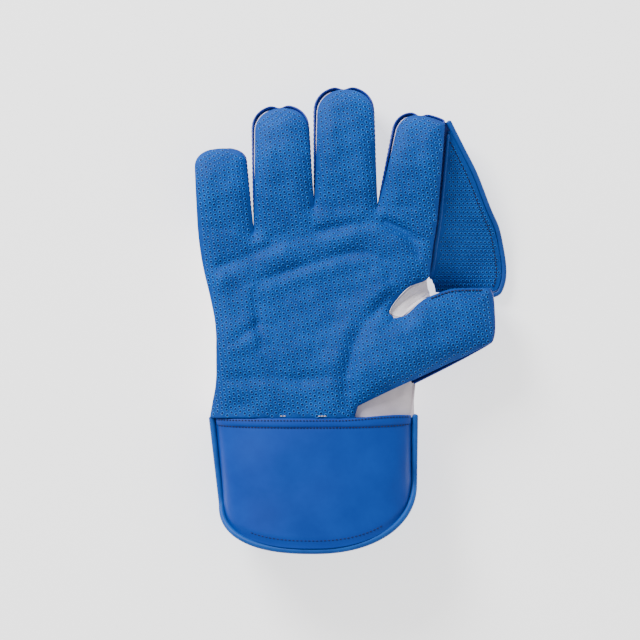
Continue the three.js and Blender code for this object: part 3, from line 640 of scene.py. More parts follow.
def add_grain(tree, place, grain, grain_size, grain_depth):
    """A bump 0.1 mm high: soft noise on rubber, rounded cells on leather."""
    scale = 1 / (grain_size * MILLIMETRE)
    if grain == "cells":
        fine = add_node(tree, "TexVoronoi", Scale=scale)
        fine.feature = "SMOOTH_F1"
        signal = fine.outputs["Distance"]
    else:
        fine = add_node(tree, "TexNoise", Scale=scale, Detail=3.0)
        signal = fine.outputs["Fac"]
    tree.links.new(place, fine.inputs["Vector"])
    bump = add_node(tree, "Bump", Strength=grain_depth, Distance=0.1 * MILLIMETRE)
    tree.links.new(signal, bump.inputs["Height"])
    return bump.outputs["Normal"]


# %% One recipe for every finish
def make_material(name, dark, light, roughness, cloud_size, grain_size, grain_depth,
                  grain="noise", sheen=0.0, coat=0.0, shade_colours=None, specular=0.5):
    """Two colours mixed by a slow noise, roughness that varies with it, and a fine grain."""
    material = bpy.data.materials.new(name)
    material.use_nodes = True
    tree = material.node_tree
    link = tree.links.new
    shader = tree.nodes["Principled BSDF"]
    place = add_node(tree, "TexCoord").outputs["Object"]
    scale = 1 / (cloud_size * MILLIMETRE)
    cloud = add_node(tree, "TexNoise", Scale=scale, Detail=4.0, Roughness=0.6)
    link(place, cloud.inputs["Vector"])
    spread = add_node(tree, "MapRange", From_Min=0.3, From_Max=0.7)
    link(cloud.outputs["Fac"], spread.inputs["Value"])
    mixed = add_mix(tree, "MIX", A=dark, B=light)
    link(spread.outputs["Result"], mixed.inputs["Factor"])
    colour = mixed.outputs["Result"]
    if shade_colours:
        colour = shaded(tree, colour, shade_colours)
    link(colour, shader.inputs["Base Color"])
    rough = add_node(tree, "MapRange", To_Min=roughness - 0.07, To_Max=roughness + 0.07)
    link(cloud.outputs["Fac"], rough.inputs["Value"])
    link(rough.outputs["Result"], shader.inputs["Roughness"])
    normal = add_grain(tree, place, grain, grain_size, grain_depth)
    link(normal, shader.inputs["Normal"])
    shader.inputs["Sheen Weight"].default_value = sheen
    shader.inputs["Coat Weight"].default_value = coat
    shader.inputs["Coat Roughness"].default_value = 0.35
    shader.inputs["Specular IOR Level"].default_value = specular
    return material


# %% The glove's finishes
rubber_ground = make_material(
    "rubber_ground", srgb(0, 58, 134), srgb(0, 74, 160), roughness=0.62, cloud_size=16,
    grain_size=0.7, grain_depth=0.5, specular=0.15)
# painted shade: the ramp darkens the pimples' flanks and, most of all, their dimples
dimple_painted_shade, flank_painted_shade, no_shade = (0.0, 0.04, 0.14, 1), (0.3, 0.5, 0.62, 1), (1, 1, 1, 1)
rubber_pimples = make_material(
    "rubber_pimples", srgb(2, 108, 198), srgb(8, 123, 216), roughness=0.5, cloud_size=16,
    grain_size=0.7, grain_depth=0.3, specular=0.25,
    shade_colours=[dimple_painted_shade, flank_painted_shade, no_shade])
blue_leather = make_material(
    "blue_leather", srgb(13, 40, 134), srgb(23, 55, 158), roughness=0.42, cloud_size=22,
    grain_size=0.9, grain_depth=0.6, grain="cells", coat=0.1, specular=0.35)
white_leather = make_material(
    "white_leather", srgb(209, 198, 204), srgb(230, 219, 225), roughness=0.58, cloud_size=14,
    grain_size=1.0, grain_depth=0.8, grain="cells", sheen=0.15)
# painted light: a lighter copy of white_leather with more sheen, which lifts the shade that the
# thumb's wall casts on the crotch gusset
gusset_leather_painted_light = make_material(
    "gusset_leather_painted_light", srgb(236, 228, 233), srgb(250, 243, 247), roughness=0.6, cloud_size=14,
    grain_size=1.0, grain_depth=0.8, grain="cells", sheen=0.3)
cuff_leather = make_material(
    "cuff_leather", srgb(6, 54, 144), srgb(10, 66, 162), roughness=0.5, cloud_size=40,
    grain_size=0.8, grain_depth=0.25, grain="cells", specular=0.2)
piping_leather = make_material(
    "piping_leather", srgb(6, 70, 150), srgb(10, 84, 170), roughness=0.5, cloud_size=12,
    grain_size=0.8, grain_depth=0.35, specular=0.22)
web_leather = make_material(
    "web_leather", srgb(0, 60, 138), srgb(4, 76, 160), roughness=0.45, cloud_size=14,
    grain_size=0.8, grain_depth=0.4, specular=0.3)
navy_thread = make_material(
    "navy_thread", srgb(2, 14, 60), srgb(6, 22, 76), roughness=0.7, cloud_size=3,
    grain_size=0.35, grain_depth=0.8)
white_thread = make_material(
    "white_thread", srgb(188, 182, 186), srgb(214, 208, 212), roughness=0.75, cloud_size=3,
    grain_size=0.35, grain_depth=0.8)
print(len(bpy.data.materials), "materials")

# %% [markdown]
# ## The palm facing
# The real facing is one sheet of rubber on a leather backing, cut out as palm, fingers and
# thumb in one. Modelling it as one welded grid keeps the pimples' ground free of seams, and
# the rounded rim shows the sheet's thickness at the fingers. The pale backing lies under it
# and peeps out beside the fingers as a thin light line.

# %% Rubber sheet
rim_out = rim_directions(facing_plan, facing_faces)
under_rubber = facing_top - [0, 0, rubber_thickness]
rubber_bulge = np.column_stack([rim_out, np.zeros(len(rim_out))]) * 0.5
palm_rubber = add_piece(
    "palm_rubber", *wall_of(facing_top, under_rubber, facing_faces, rubber_bulge),
    rubber_ground, "pimple_rubber", ["palm_facing"])

# %% Pale backing, set in on the palm and out on the fingers' left sides and tips
knuckle_line = np.interp(facing_plan[:, 0], root_ends[:, 0], root_ends[:, 1])
up_finger = facing_plan[:, 1] - knuckle_line
on_finger, near_tip = smooth((up_finger - 14) / 14), smooth((up_finger - 28) / 22)
peeps_out = on_finger * smooth(-1.6 * rim_out[:, 0]) * (facing_plan[:, 0] > root_ends[1, 0])
set_in, out_on_finger, out_at_tip = 0.35, 0.75, 1.3
outset = peeps_out * mix(out_on_finger, out_at_tip, near_tip) - set_in
outset = outset[:, None] * rim_out
hair = 0.05
backing_top = np.column_stack([
    facing_plan + outset, facing_top[:, 2] - rubber_thickness - hair])
backing_under = backing_top - [0, 0, facing_thickness - rubber_thickness]
facing_parts = [add_piece(
    "palm_backing", *wall_of(backing_top, backing_under, facing_faces),
    white_leather, "white_leather", ["palm_facing"], sharp=50)]

# %% [markdown]
# ## Pimples
# Keepers need grip, so the rubber is covered with small round pimples, each with a dimple in
# its middle. They stand in a honeycomb pattern about 3.5 mm apart. One ring-shaped pimple is
# worked out as a turned profile of eight sides, and copied to every point of the pattern as
# one big array, tilted to the sheet's slope there. An attribute stores a painted shade for each
# ring of the pimple, so that the material paints shade onto the flanks and into the dimple.


# %% One pimple
def pimple_template(scale):
    """A turned profile: radius, height and painted shade for each ring, closed in the dimple and
    below.
    """
    # columns: radius, height and painted shade: full colour on the ring's top, darker on its
    # flanks, darkest in the dimple
    profile = np.array([
        [1.48, -0.25, 0.55], [1.38, 0.12, 0.8], [1.22, 0.34, 1.0], [1.04, 0.36, 0.9],
        [0.84, 0.18, 0.1], [0.7, 0.08, 0.0],
    ])
    radius, height = profile[:, :1] * scale, profile[:, 1:2] * scale
    turn = np.linspace(0, 2 * np.pi, 8, endpoint=False)
    x, y = radius * np.cos(turn), radius * np.sin(turn)
    z = np.repeat(height, 8, 1)
    rings = np.stack([x, y, z], -1).reshape(-1, 3)
    ids = np.arange(48).reshape(6, 8)
    ahead = np.roll(ids, -1, axis=1)
    quads = np.stack([ids[:-1], ahead[:-1], ahead[1:], ids[1:]], -1).reshape(-1, 4)
    caps = np.array([[40, 41, 42, 43], [40, 43, 44, 47], [44, 45, 46, 47],
                     [3, 2, 1, 0], [7, 4, 3, 0], [7, 6, 5, 4]])
    return rings, np.concatenate([quads, caps]), np.repeat(profile[:, 2], 8)


# %% Where the pimples stand
def honeycomb(low, high, spacing, turn, squeeze=1.0):
    """Points of two rows of directions 60 degrees apart that cover a rectangle."""
    reach = np.arange(-130, 131)  # steps each way, enough for the whole hand
    a, b = [grid.reshape(-1, 1) for grid in np.meshgrid(reach, reach)]
    first = spacing * np.array([np.cos(turn), np.sin(turn)])
    second = spacing * np.array([np.cos(turn + np.pi / 3), np.sin(turn + np.pi / 3)])
    points = (a * first + b * second) * [squeeze, 1] + (np.array(low) + high) / 2
    return points[((points > low) & (points < high)).all(1)]


def inside_of(segments, points):
    """Even-odd rule: a ray to the right from an inside point crosses the outline an odd
    number of times."""
    (x0, y0), (x1, y1) = segments[:, 0].T, segments[:, 1].T
    x, y = points[:, :1], points[:, 1:]
    spans = (y0 > y) != (y1 > y)
    run = np.where(y1 == y0, 1e-9, y1 - y0)
    crosses = x < x0 + (y - y0) / run * (x1 - x0)
    return (spans & crosses).sum(1) % 2 == 1


# %% Copies that follow the sheet
def tilted_copies(template, centres, height_at, sizes=None):
    """One copy of the template at each centre, with its z axis along the surface's normal,
    which comes from height differences 0.5 mm to each side."""
    rings, quads, shade = template
    step = 0.5
    slope_x = (height_at(centres + [step, 0]) - height_at(centres - [step, 0])) / (2 * step)
    slope_y = (height_at(centres + [0, step]) - height_at(centres - [0, step])) / (2 * step)
    normal = np.stack([-slope_x, -slope_y, np.ones(len(centres))], 1)
    normal /= np.linalg.norm(normal, axis=1, keepdims=True)
    side = np.stack([np.ones(len(centres)), np.zeros(len(centres)), slope_x], 1)
    side /= np.linalg.norm(side, axis=1, keepdims=True)
    ahead = np.cross(normal, side)
    base = np.column_stack([centres, height_at(centres)])
    sizes = np.ones(len(centres)) if sizes is None else sizes
    local = rings[None] * sizes[:, None, None]
    points = (base[:, None] + local[..., :1] * side[:, None] + local[..., 1:2] * ahead[:, None]
              + local[..., 2:] * normal[:, None])
    numbers = np.arange(len(centres))[:, None, None] * len(rings)
    all_quads = (quads[None] + numbers).reshape(-1, 4)
    return points.reshape(-1, 3), all_quads, np.tile(shade, len(centres))


# %% Pimples of the palm, the fingers and the thumb
rng = np.random.default_rng(7)
facing_border = segments_of(facing_plan, facing_outline, without_wrist=False)
pattern_turn, pattern_shake, bare_edge = np.radians(-24), 0.1, 0.9
lattice = honeycomb(facing_plan.min(0), facing_plan.max(0), pimple_spacing, pattern_turn)
lattice = lattice + rng.normal(0, pattern_shake, lattice.shape)
lattice = lattice[inside_of(facing_border, lattice)]
lattice = lattice[distance_to(facing_border, lattice)[0] > bare_edge]
above_knuckles = lattice[:, 1] > np.interp(lattice[:, 0], root_ends[:, 0], root_ends[:, 1])
thumb_from, thumb_to = [facing_right_line(row / last_row) for row in thumb_root_rows]
thumb_run = thumb_to - thumb_from
thumb_turned = (lattice - thumb_from) @ [-thumb_run[1], thumb_run[0]]
is_thumb = (thumb_turned > 0) & (lattice[:, 1] < thumb_from[1] + 10) & (lattice[:, 0] > 20)
groups = {
    "finger_pimples": above_knuckles,
    "palm_pimples": ~above_knuckles & ~is_thumb,
    "thumb_pimples": ~above_knuckles & is_thumb,
}
for name, chosen in groups.items():
    centres = lattice[chosen]
    sizes = rng.uniform(0.92, 1.06, len(centres))
    points, quads, shade = tilted_copies(pimple_template(0.97), centres, facing_height, sizes=sizes)
    facing_parts.append(
        add_piece(name, points, quads, rubber_pimples, "pimple_rubber", shade=shade))

# %% [markdown]
# ## Finger stalls, thumb stall and the back
# Each finger lies in a padded leather trough. Its depth grows from the rim like a quarter of a
# superellipse: straight down at the side, then round into the flat that rests on the table.
# The inner layer is the outer one moved inwards along its normals by the padding's thickness.


# %% Plan of the back
thumb_back_starts = (0.31, 0.12)
back_blocks = {
    "hand": palm_plan(FINE_ACROSS, FINE_ROWS, back_right_line),
    "thumb": thumb_plan(thumb_across, 48, back_right_line, FINE_ROWS, thumb_back_starts,
                        stall_overhang),
}
stall_along = steps_to_tip(44)
for number, finger in enumerate(fingers):
    back_blocks[finger[0]] = finger_plan(number, finger_v, stall_along, False)
back_plan, back_faces = weld(list(back_blocks.values()))
back_edge = segments_of(back_plan, outline_of(back_faces))
rim_below_body = facing_roll_depth + facing_thickness + seam_gap


# %% Rims that carry the facing
def rim_height(x, y):
    """The facing's edge rests on the rim, so the rim is a roll and a thickness lower."""
    return body_height(x, y) - rim_below_body


def back_rim(x, y):
    """The rim, lowered where the wrist gusset lies on it."""
    seat = np.where(x > 0, smooth((0.27 - y / palm_length) * 12), 0)
    return rim_height(x, y) - (gusset_thickness + 3 * seam_gap) * seat


# share of the way in and height of the rim's lip, groove and inner edge
RIM_SECTION = [(0.02, 0.6), (0.08, 0.95), (0.2, 0.95), (0.28, 0.5), (0.34, -0.2), (0.42, -0.6),
               (0.5, -0.4), (0.58, 0.3), (0.66, 0.8), (0.85, 0.9)]


# %% A padded trough
def back_piece(name, block, wall, material, slot, nodes, apart=(0, 0), section=RIM_SECTION):
    """Outer layer: rim height times one minus the dome of the distance from the outline."""
    plan, faces = weld([block])
    edge_distance = distance_to(back_edge, plan)[0]
    inside = np.minimum(1, edge_distance / back_edge_radius)
    x, y = plan.T
    rim = back_rim(x, y)
    is_rim = edge_distance < 0.05
    rounding = back_rim_rounding
    height = (rim - rounding) * (1 - dome(1 - inside, 2.1))
    outer = np.column_stack([x, y, height])
    turned = faces[:, ::-1]
    normal = normals_of(outer, turned)
    border = np.unique(outline_of(faces))
    butted = np.setdiff1d(border, np.flatnonzero(is_rim))
    slide = rim_directions(plan, faces)[butted]
    slide = np.stack([slide[:, 1], -slide[:, 0]], 1)
    along = (normal[butted, :2] * slide).sum(1, keepdims=True)
    normal[butted, :2] = along * slide
    normal[butted] /= np.linalg.norm(normal[butted], axis=1, keepdims=True)
    inner = outer - normal * wall
    inner[:, 2] = np.minimum(inner[:, 2], rim - rounding)
    bulge = np.zeros_like(outer)
    bulge[is_rim, 2] = rounding
    points, quads = wall_of(outer, inner, turned, bulge, section)
    points = points + [*apart, 0]
    piece = add_piece(name, points, quads, material, slot, nodes, sharp=60)


# %% The hand's back and the five stalls
back_piece("back_shell", back_blocks["hand"], back_wall, white_leather, "white_leather",
           ["hand_back"], section=half_wave(6))
for finger in fingers:
    back_piece(f"{finger[0]}_stall_leather", back_blocks[finger[0]], stall_wall, blue_leather,
               "blue_leather", [f"{finger[0]}_stall"], apart=(0, seam_gap * 1.2))
back_piece("thumb_stall_leather", back_blocks["thumb"], stall_wall, blue_leather,
           "blue_leather", ["thumb_stall"], apart=(seam_gap, 0))

# %% [markdown]
# ## Gussets
# Soft white leather fills the places that must bend: the crotch between index finger and thumb
# and the wrist below the thumb. They are ruled surfaces between two seams, with shallow
# wrinkles that run across them, because a gusset is cut a little too wide on purpose.


# %% A sheet over a surface
def grid_surface(across, along, surface):
    """Points of a surface of two shares; rows run along, columns across."""
    u, t = np.meshgrid(across, along)
    return surface(u, t), grid_faces(len(along), len(across))


def sheet_piece(name, grid, faces, outer_away, inner_away, material, slot, nodes, bulge=0.0):
    """A wall over a surface: both faces lie out from it along its normals."""
    points = grid.reshape(-1, 3)
    normal = normals_of(points, faces)
    outer, inner = points + normal * outer_away, points + normal * inner_away
    out = np.column_stack([rim_directions(points, faces), np.zeros(len(points))]) * bulge
    return add_piece(name, *wall_of(outer, inner, faces, out), material, slot, nodes, sharp=50)


# %% Wrist gusset
def wrist_gusset_surface(u, t):
    """From under the facing's edge and the thumb to the back's rim, with low creases."""
    tucked = lower_thumb_line(0.31 * t) + gusset_tuck * thumb_side
    corner = facing_right_line(1) - [gusset_tuck, 0]
    facing_side = mix(corner, tucked, smooth(t * 4)[..., None])
    back_side = back_right_line(1 - t * (last_row - thumb_root_rows[1]) / last_row)
    plan = mix(facing_side, back_side, u[..., None])
    x, y = plan[..., 0], plan[..., 1]
    crease = 0.45 * np.sin(9 * u + 3 * t) * np.sin(np.pi * u) * np.sin(np.pi * t)
    crease = crease - 0.9 * bell(u - 0.94, 0.022)
    return np.stack([x, y, rim_height(x, y) - seam_gap + crease], -1)


even = np.linspace(0, 1, 41)
wrist_gusset = sheet_piece(
    "wrist_gusset_leather", *grid_surface(even, even, wrist_gusset_surface), 0,
    -gusset_thickness, white_leather, "white_leather", ["wrist_gusset"])

# %% Crotch gusset
crotch_rows = np.array([8, 7, 6, 5, 4.5]) / last_row
crotch_wall_side = spline(np.concatenate([
    upper_thumb_line([0.42, 0.28]), back_right_line(crotch_rows)]))
crotch_corner = facing_right_line(4.2 / last_row)
crotch_low_side = spline(np.array([
    upper_thumb_line(0.47), mix(upper_thumb_line(0.47), crotch_corner, 0.5), crotch_corner,
]) + [4 * seam_gap, 2 * seam_gap])


def crotch_surface(u, t):
    """From the wall below the notch down and outwards, with folds that fan out."""
    wall_side = aside_of(crotch_wall_side, t, 0.6 * seam_gap)
    plan = mix(wall_side, crotch_low_side(t), u[..., None])
    top = rim_height(wall_side[..., 0], wall_side[..., 1]) - gusset_thickness
    fan = 0.5 * np.sin(17 * t + 2 * u) + 0.35 * np.sin(31 * t - 5 * u + 1)
    fan = fan * np.sin(np.pi * u) * np.sin(np.pi * t)
    pleat = -1.3 * bell(t - 0.42 + 0.12 * u, 0.035) * smooth(3 * u - 0.6)
    low = crotch_height + crotch_gusset_rise
    return np.concatenate([plan, (mix(top, low, u) + fan + pleat)[..., None]], -1)


# the crotch gusset wears the lighter copy of white leather: painted light against the thumb's shade
crotch_gusset = sheet_piece(
    "crotch_gusset_leather", *grid_surface(even, np.linspace(0, 1, 61), crotch_surface),
    gusset_thickness, 0, gusset_leather_painted_light, "white_leather", ["crotch_gusset"])

# %% [markdown]
# ## The web
# The web is a flat panel of the same rubber that hangs between index finger and thumb. A welt
# joins it to the finger, and a rolled leather binding finishes its free edge. The panel is a
# ruled surface between the two edge lines, and its own pimples stand in even, closer rows.

# %% The web's two edges
index_side = spline(back_blocks["index"][:, -1])
web_seam = spline(np.concatenate([
    back_right_line(np.array([4, 3, 2, 1]) / last_row), root_ends[4:5],
    index_side([0.3, 0.55, 1]),
]))
web_widths = np.array([1.015, 0.976, 0.902, 0.788, 0.636, 0.400, 0.185, -0.045])
web_rows = np.linspace(0, 1, len(web_widths))
web_seam_clearance = welt_diameter + web_groove + 1.5 * seam_gap
web_corner = upper_thumb_line([0.6, 1])
web_left = spline(np.concatenate([
    [web_corner[0] + [0, web_corner_drop * 0.29]],
    [web_seam(0) + [web_seam_clearance + web_corner_reach * 0.15, -web_corner_drop * 1.07]],
    web_seam(web_rows) + [web_seam_clearance, 0],
]))
binding_line = spline(np.concatenate([
    [web_corner[1] + [web_corner_reach * 0.62, -web_corner_drop]],
    [web_corner[1] + [web_corner_reach, -web_corner_drop * 0.43]],
    web_seam(web_rows) + np.stack([
        web_seam_clearance + web_widths * web_width, -web_sag * np.sin(np.pi * web_widths)], 1),
]))


# %% Web panel
def web_height(u, t):
    """Blend between the height at the finger and at the free edge, with a sag between."""
    at_finger = mix(web_height_at_notch, web_height_at_finger, smooth(t * 2.4))
    edge_rise = mix(web_height_at_thumb, web_height_at_edge, smooth(t * 4))
    at_edge = mix(edge_rise, web_height_at_finger, smooth((t - 0.3) / 0.7))
    return mix(at_finger, at_edge, u) - web_sag * np.sin(np.pi * u) * np.sin(np.pi * t)


def web_surface(u, t):
    """Ruled between the welt's side and the binding's side."""
    right = aside_of(binding_line, t, -web_binding_diameter / 2 - hair)
    plan = mix(web_left(t) - [seam_gap, 0], right, u[..., None])
    return np.concatenate([plan, web_height(u, t)[..., None]], -1)


# the panel ends a little short of the fingertip, where the binding closes the web alone
web_end = 0.952
web_grid, web_faces = grid_surface(
    np.linspace(0, 1, 49), np.linspace(0, web_end, 121), web_surface)
web_panel = sheet_piece("web_rubber", web_grid, web_faces, 0, -web_thickness, rubber_ground,
                        "pimple_rubber", ["web_panel"])
# %% Binding and welt
binding_t = np.linspace(0, 1, 160)
binding_path = np.column_stack([
    binding_line(binding_t), web_height(1, binding_t) - web_thickness / 2])
web_binding = add_piece(
    "web_binding_roll", *tube_of(binding_path, web_binding_diameter / 2, flat=0.75),
    web_leather, "blue_leather", ["web_binding"])
print_length(binding_path)


def along_seam(t):
    """The web's own share for a share of the seam: the panel starts two points before it."""
    return (2 + t * (len(web_widths) - 1)) / (len(web_widths) + 1)


welt_t = np.linspace(0.02, 0.92, 120)
welt_path = np.column_stack([
    web_seam(welt_t) + [web_groove + welt_diameter / 2, 0],
    web_height(0, along_seam(welt_t)) + 2 * seam_gap])
web_welt = add_piece(
    "web_welt_roll", *tube_of(welt_path, welt_diameter / 2, 12), web_leather, "blue_leather",
    ["web_welt"])
print_length(welt_path)

# %% [markdown]
# A strip of thin leather under the panel sews the web to the index stall all along its side.
# It could be part of the panel, but on the glove it is a piece of its own, so that a torn web
# can be replaced, and here it follows the panel's own lines a little lower.


# %% Strip that sews the web to the index finger
def strip_surface(u, t):
    """A band under the panel's finger edge: its width is a fixed length on the ruled lines."""
    left = web_left(t) - [web_seam_clearance, 0]
    run = binding_line(t) - left
    length = np.linalg.norm(run, axis=-1)
    away = u * np.minimum(web_strip_width, length)
    in_panel = np.clip((away - web_seam_clearance) / np.maximum(length, 5), 0, 1)
    height = web_height(in_panel, t) - web_thickness * 1.2 - seam_gap
    return np.concatenate([left + run * (away / length)[..., None], height[..., None]], -1)


strip_grid, strip_faces = grid_surface(
    np.linspace(0, 1, 9), np.linspace(along_seam(0.03), 1, 101), strip_surface)
web_strip = sheet_piece("web_strip_leather", strip_grid, strip_faces, 0, -web_strip_thickness,
                        blue_leather, "blue_leather", ["web_strip"])

# %% Pimples of the web
web_border_t = np.linspace(0, web_end, 200)
web_left_edge, web_right_edge = [
    web_surface(np.full(200, share), web_border_t)[:, :2] for share in (0.0, 1.0)]
web_loop = np.concatenate([web_left_edge, web_right_edge[::-1]])
web_border = np.stack([web_loop, np.roll(web_loop, -1, 0)], 1)
web_points = web_grid.reshape(-1, 3)


def web_height_at(points):
    """Height of the web's surface over plan points, from its four nearest grid points."""
    gap = ((points[:, None] - web_points[None, :, :2]) ** 2).sum(2)
    near = np.argpartition(gap, 4, axis=1)[:, :4]
    weight = 1 / (np.take_along_axis(gap, near, 1) + 0.05)
    return (web_points[near, 2] * weight).sum(1) / weight.sum(1)


web_lattice = honeycomb(web_loop.min(0), web_loop.max(0), web_pimple_spacing, 0.0, squeeze=0.82)
web_lattice = web_lattice[inside_of(web_border, web_lattice)]
web_edge_distance = distance_to(web_border, web_lattice)[0]
web_lattice = web_lattice[web_edge_distance > 1.6]
points, quads, shade = tilted_copies(pimple_template(0.86), web_lattice, web_height_at)
web_pimples = add_piece(
    "web_pimples", points, quads, rubber_pimples, "pimple_rubber", shade=shade)

# %% [markdown]
# ## The cuff
# The cuff is two stiff padded flaps sewn together at the sides and open at the mouth. The
# palm-side flap arches over the wrist, the other lies on the table. In plan both are a
# rectangle whose far end is rounded like a superellipse; in height they are a superellipse
# arch. A box with a Bevel modifier would give even corners, but this hem is flatter on one
# side. A rolled piping runs round each edge, and a sewn band finishes the top.

# %% Plan and heights of the cuff
cuff_top = seam_gap
panel_inset = cuff_piping_diameter + hair
ARCH = 2.3


def cuff_plan(u, t, inset):
    """u from -1 to 1 across, t from the wrist to the hem; the hem is a dome."""
    taper = np.where(u < 0, cuff_taper_left, cuff_taper_right)
    half = cuff_width / 2 - inset - taper * t
    rounding = np.where(u < 0, cuff_rounding_left, cuff_rounding_right)
    hem = -(cuff_length - rounding) - (rounding - inset) * dome(u, np.where(u < 0, 2.45, 2.2))
    return np.stack([u * half, mix(-cuff_top, hem, t)], -1)


def front_height(u, t):
    """Arch from the side seams to the crown, which rises towards the mouth."""
    arch = dome(u, ARCH)
    crown = mix(wrist_height + cuff_lip, cuff_mouth_height, t)
    return mix(cuff_seam_height, crown, arch) + seam_gap / 2 + (1 - arch) * seam_gap


def back_height(u, t):
    """The same arch turned over and flattened on the table."""
    return np.maximum(0, cuff_seam_height * (1 - 1.06 * dome(u, ARCH)) - seam_gap / 2) + 0 * t


def cuff_relief(u, t):
    """Padding: the leather dips towards every edge, and has a few soft dents."""
    x, y = u * cuff_width / 2, t * cuff_length
    side = smooth((1 - np.abs(u)) * cuff_width / 2 / 5)
    hem = smooth((1 - t) * cuff_length / 8)
    top = smooth(t * cuff_length / 9)
    dents = 0.35 * np.sin(0.09 * x + 0.05 * y) * np.sin(0.07 * y - 0.04 * x + 1.2)
    return (1 - side * hem * top) * -1.0 + dents * side * hem * top


def no_relief(u, t):
    """Nothing: the back flap lies on the table and stays plain."""
    return 0 * u


# %% A padded flap
def flap(name, height_at, relief, nodes, is_front):
    """Outer layer, and an inner one moved in by the padding, cut off at the side seam."""
    u, t = crowded_steps(96), np.linspace(1, 0, 73)

    def surface(u, t):
        height = height_at(u, t) + relief(u, t)
        inset = panel_inset - 0.6 * bell(np.abs(u) - 0.95, 0.07) * smooth((t - 0.6) / 0.4)
        return np.concatenate([cuff_plan(u, t, inset), height[..., None]], -1)

    grid, faces = grid_surface(u, t, surface)
    faces = faces if is_front else faces[:, ::-1]
    outer = grid.reshape(-1, 3)
    normal = normals_of(outer, faces)
    ends = np.isin(np.repeat(t, len(u)), (0.0, 1.0))
    normal[ends, 1] = 0
    normal[ends] /= np.linalg.norm(normal[ends], axis=1, keepdims=True)
    inner = outer - normal * cuff_padding
    if is_front:
        inner[:, 2] = np.maximum(inner[:, 2], cuff_seam_height + seam_gap / 2)
        outer[:, 2] = np.maximum(outer[:, 2], inner[:, 2])
    else:
        inner[:, 2] = np.minimum(inner[:, 2], cuff_seam_height - seam_gap / 2)
        outer[:, 2] = np.minimum(outer[:, 2], inner[:, 2])
    out = np.zeros_like(outer)
    out[ends, 1] = np.where(np.repeat(t, len(u))[ends] == 1.0, -0.6, 0.15)
    piece = add_piece(name, *wall_of(outer, inner, faces, out, half_wave(5)), cuff_leather,
                      "cuff_leather", nodes, sharp=55)


# %% The cuff's two flaps
flap("cuff_front_leather", front_height, cuff_relief, ["cuff_front"], True)
flap("cuff_back_leather", back_height, no_relief, ["cuff_back"], False)

# %% Band over the flap's top
band_u = crowded_steps(96)[2:-2]
band_rows = np.linspace(1, 0, 9)


def band_surface(u, s):
    """A strip across the flap's top with a crowned section: a half sine over its width."""
    rise = cuff_band_end_rise * smooth((u - 0.25) / 0.65) * (1 - s)
    t = (cuff_top + cuff_band_width * mix(0.1, 1.4, s) - rise) / cuff_length
    height = front_height(u, t) + 0.1 + 0.7 * cuff_band_thickness * np.sin(np.pi * s) ** 0.35
    return np.concatenate([cuff_plan(u, t, panel_inset), height[..., None]], -1)


band_grid, band_faces = grid_surface(band_u, band_rows, band_surface)
sheet_piece("cuff_band_roll", band_grid, band_faces, 0, -cuff_band_thickness - 0.2,
            cuff_leather, "cuff_leather", ["cuff_band"])

# %% Piping round both flaps
rim_sides = np.linspace(0.0, 0.9, 40)
rim_u = np.concatenate([-np.ones(40), crowded_steps(160), np.ones(40)])
rim_t = np.concatenate([rim_sides, np.ones(161), np.linspace(0.9, -0.03, 40)])
piping_lift = cuff_piping_diameter / 2 + seam_gap
for name, height_at, lift, node in (
    ("cuff_front_piping_roll", front_height, 1, "cuff_front_piping"),
    ("cuff_back_piping_roll", back_height, -1, "cuff_back_piping"),
):
    arch = dome(rim_u, ARCH)
    height = height_at(rim_u, rim_t) + lift * mix(piping_lift, -cuff_padding / 2, arch)
    path = np.column_stack([cuff_plan(rim_u, rim_t, cuff_piping_diameter / 2), height])
    radius = cuff_piping_diameter / 2 + cuff_piping_swell
    add_piece(name, *tube_of(path, radius, 16), piping_leather, "piping_leather", [node])
    print_length(path)

# %% [markdown]
# ## Stitches
# A stitch is a short spindle of thread, half sunk in the leather. One spindle of six sides is
# copied along each seam line at an even pitch, turned to the seam's direction, so that a few
# dozen faces make a whole seam.


# %% One stitch
def stitch_template():
    """A spindle along x: six sides, five rings whose radius is a superellipse dome."""
    place = np.array([-1.0, -0.75, 0.0, 0.75, 1.0])
    radius = np.array([0.15, 0.75, 1.0, 0.75, 0.15])
    turn = np.linspace(0, 2 * np.pi, 6, endpoint=False)
    y, z = radius[:, None] * np.cos(turn), radius[:, None] * np.sin(turn)
    x = np.repeat(place[:, None], 6, 1)
    ids = np.arange(30).reshape(5, 6)
    ahead = np.roll(ids, -1, axis=1)
    quads = np.stack([ids[:-1], ids[1:], ahead[1:], ahead[:-1]], -1).reshape(-1, 4)
    caps = np.array([[0, 1, 2, 3], [0, 3, 4, 5], [27, 26, 25, 24], [29, 28, 27, 24]])
    return np.stack([x, y, z], -1).reshape(-1, 3), np.concatenate([quads, caps])


# %% A row of stitches
def stitch_row(path, pitch=3.0, length=2.2, width=0.7, lift=0.1):
    """Even steps of arc length along the path; each spindle lies along the path there."""
    steps = np.linalg.norm(np.diff(path, axis=0), axis=1)
    place = np.concatenate([[0], np.cumsum(steps)])
    count = max(2, int(place[-1] / pitch))
    middle = (np.arange(count) + 0.5) * place[-1] / count

    def at(way):
        return np.stack([np.interp(way, place, path[:, axis]) for axis in range(3)], 1)

    run = at(middle + length / 2) - at(middle - length / 2)
    run /= np.linalg.norm(run, axis=1, keepdims=True)
    side = np.cross([0, 0, 1], run)
    side /= np.maximum(np.linalg.norm(side, axis=1, keepdims=True), 1e-9)
    up = np.cross(run, side)
    rings, quads = stitch_template()
    points = at(middle)[:, None] + up[:, None] * lift
    points = points + rings[None, :, :1] * run[:, None] * length / 2
    points = points + rings[None, :, 1:2] * side[:, None] * width / 2
    points = points + rings[None, :, 2:] * up[:, None] * width / 2
    numbers = np.arange(count)[:, None, None] * len(rings)
    return points.reshape(-1, 3), (quads[None] + numbers).reshape(-1, 4)


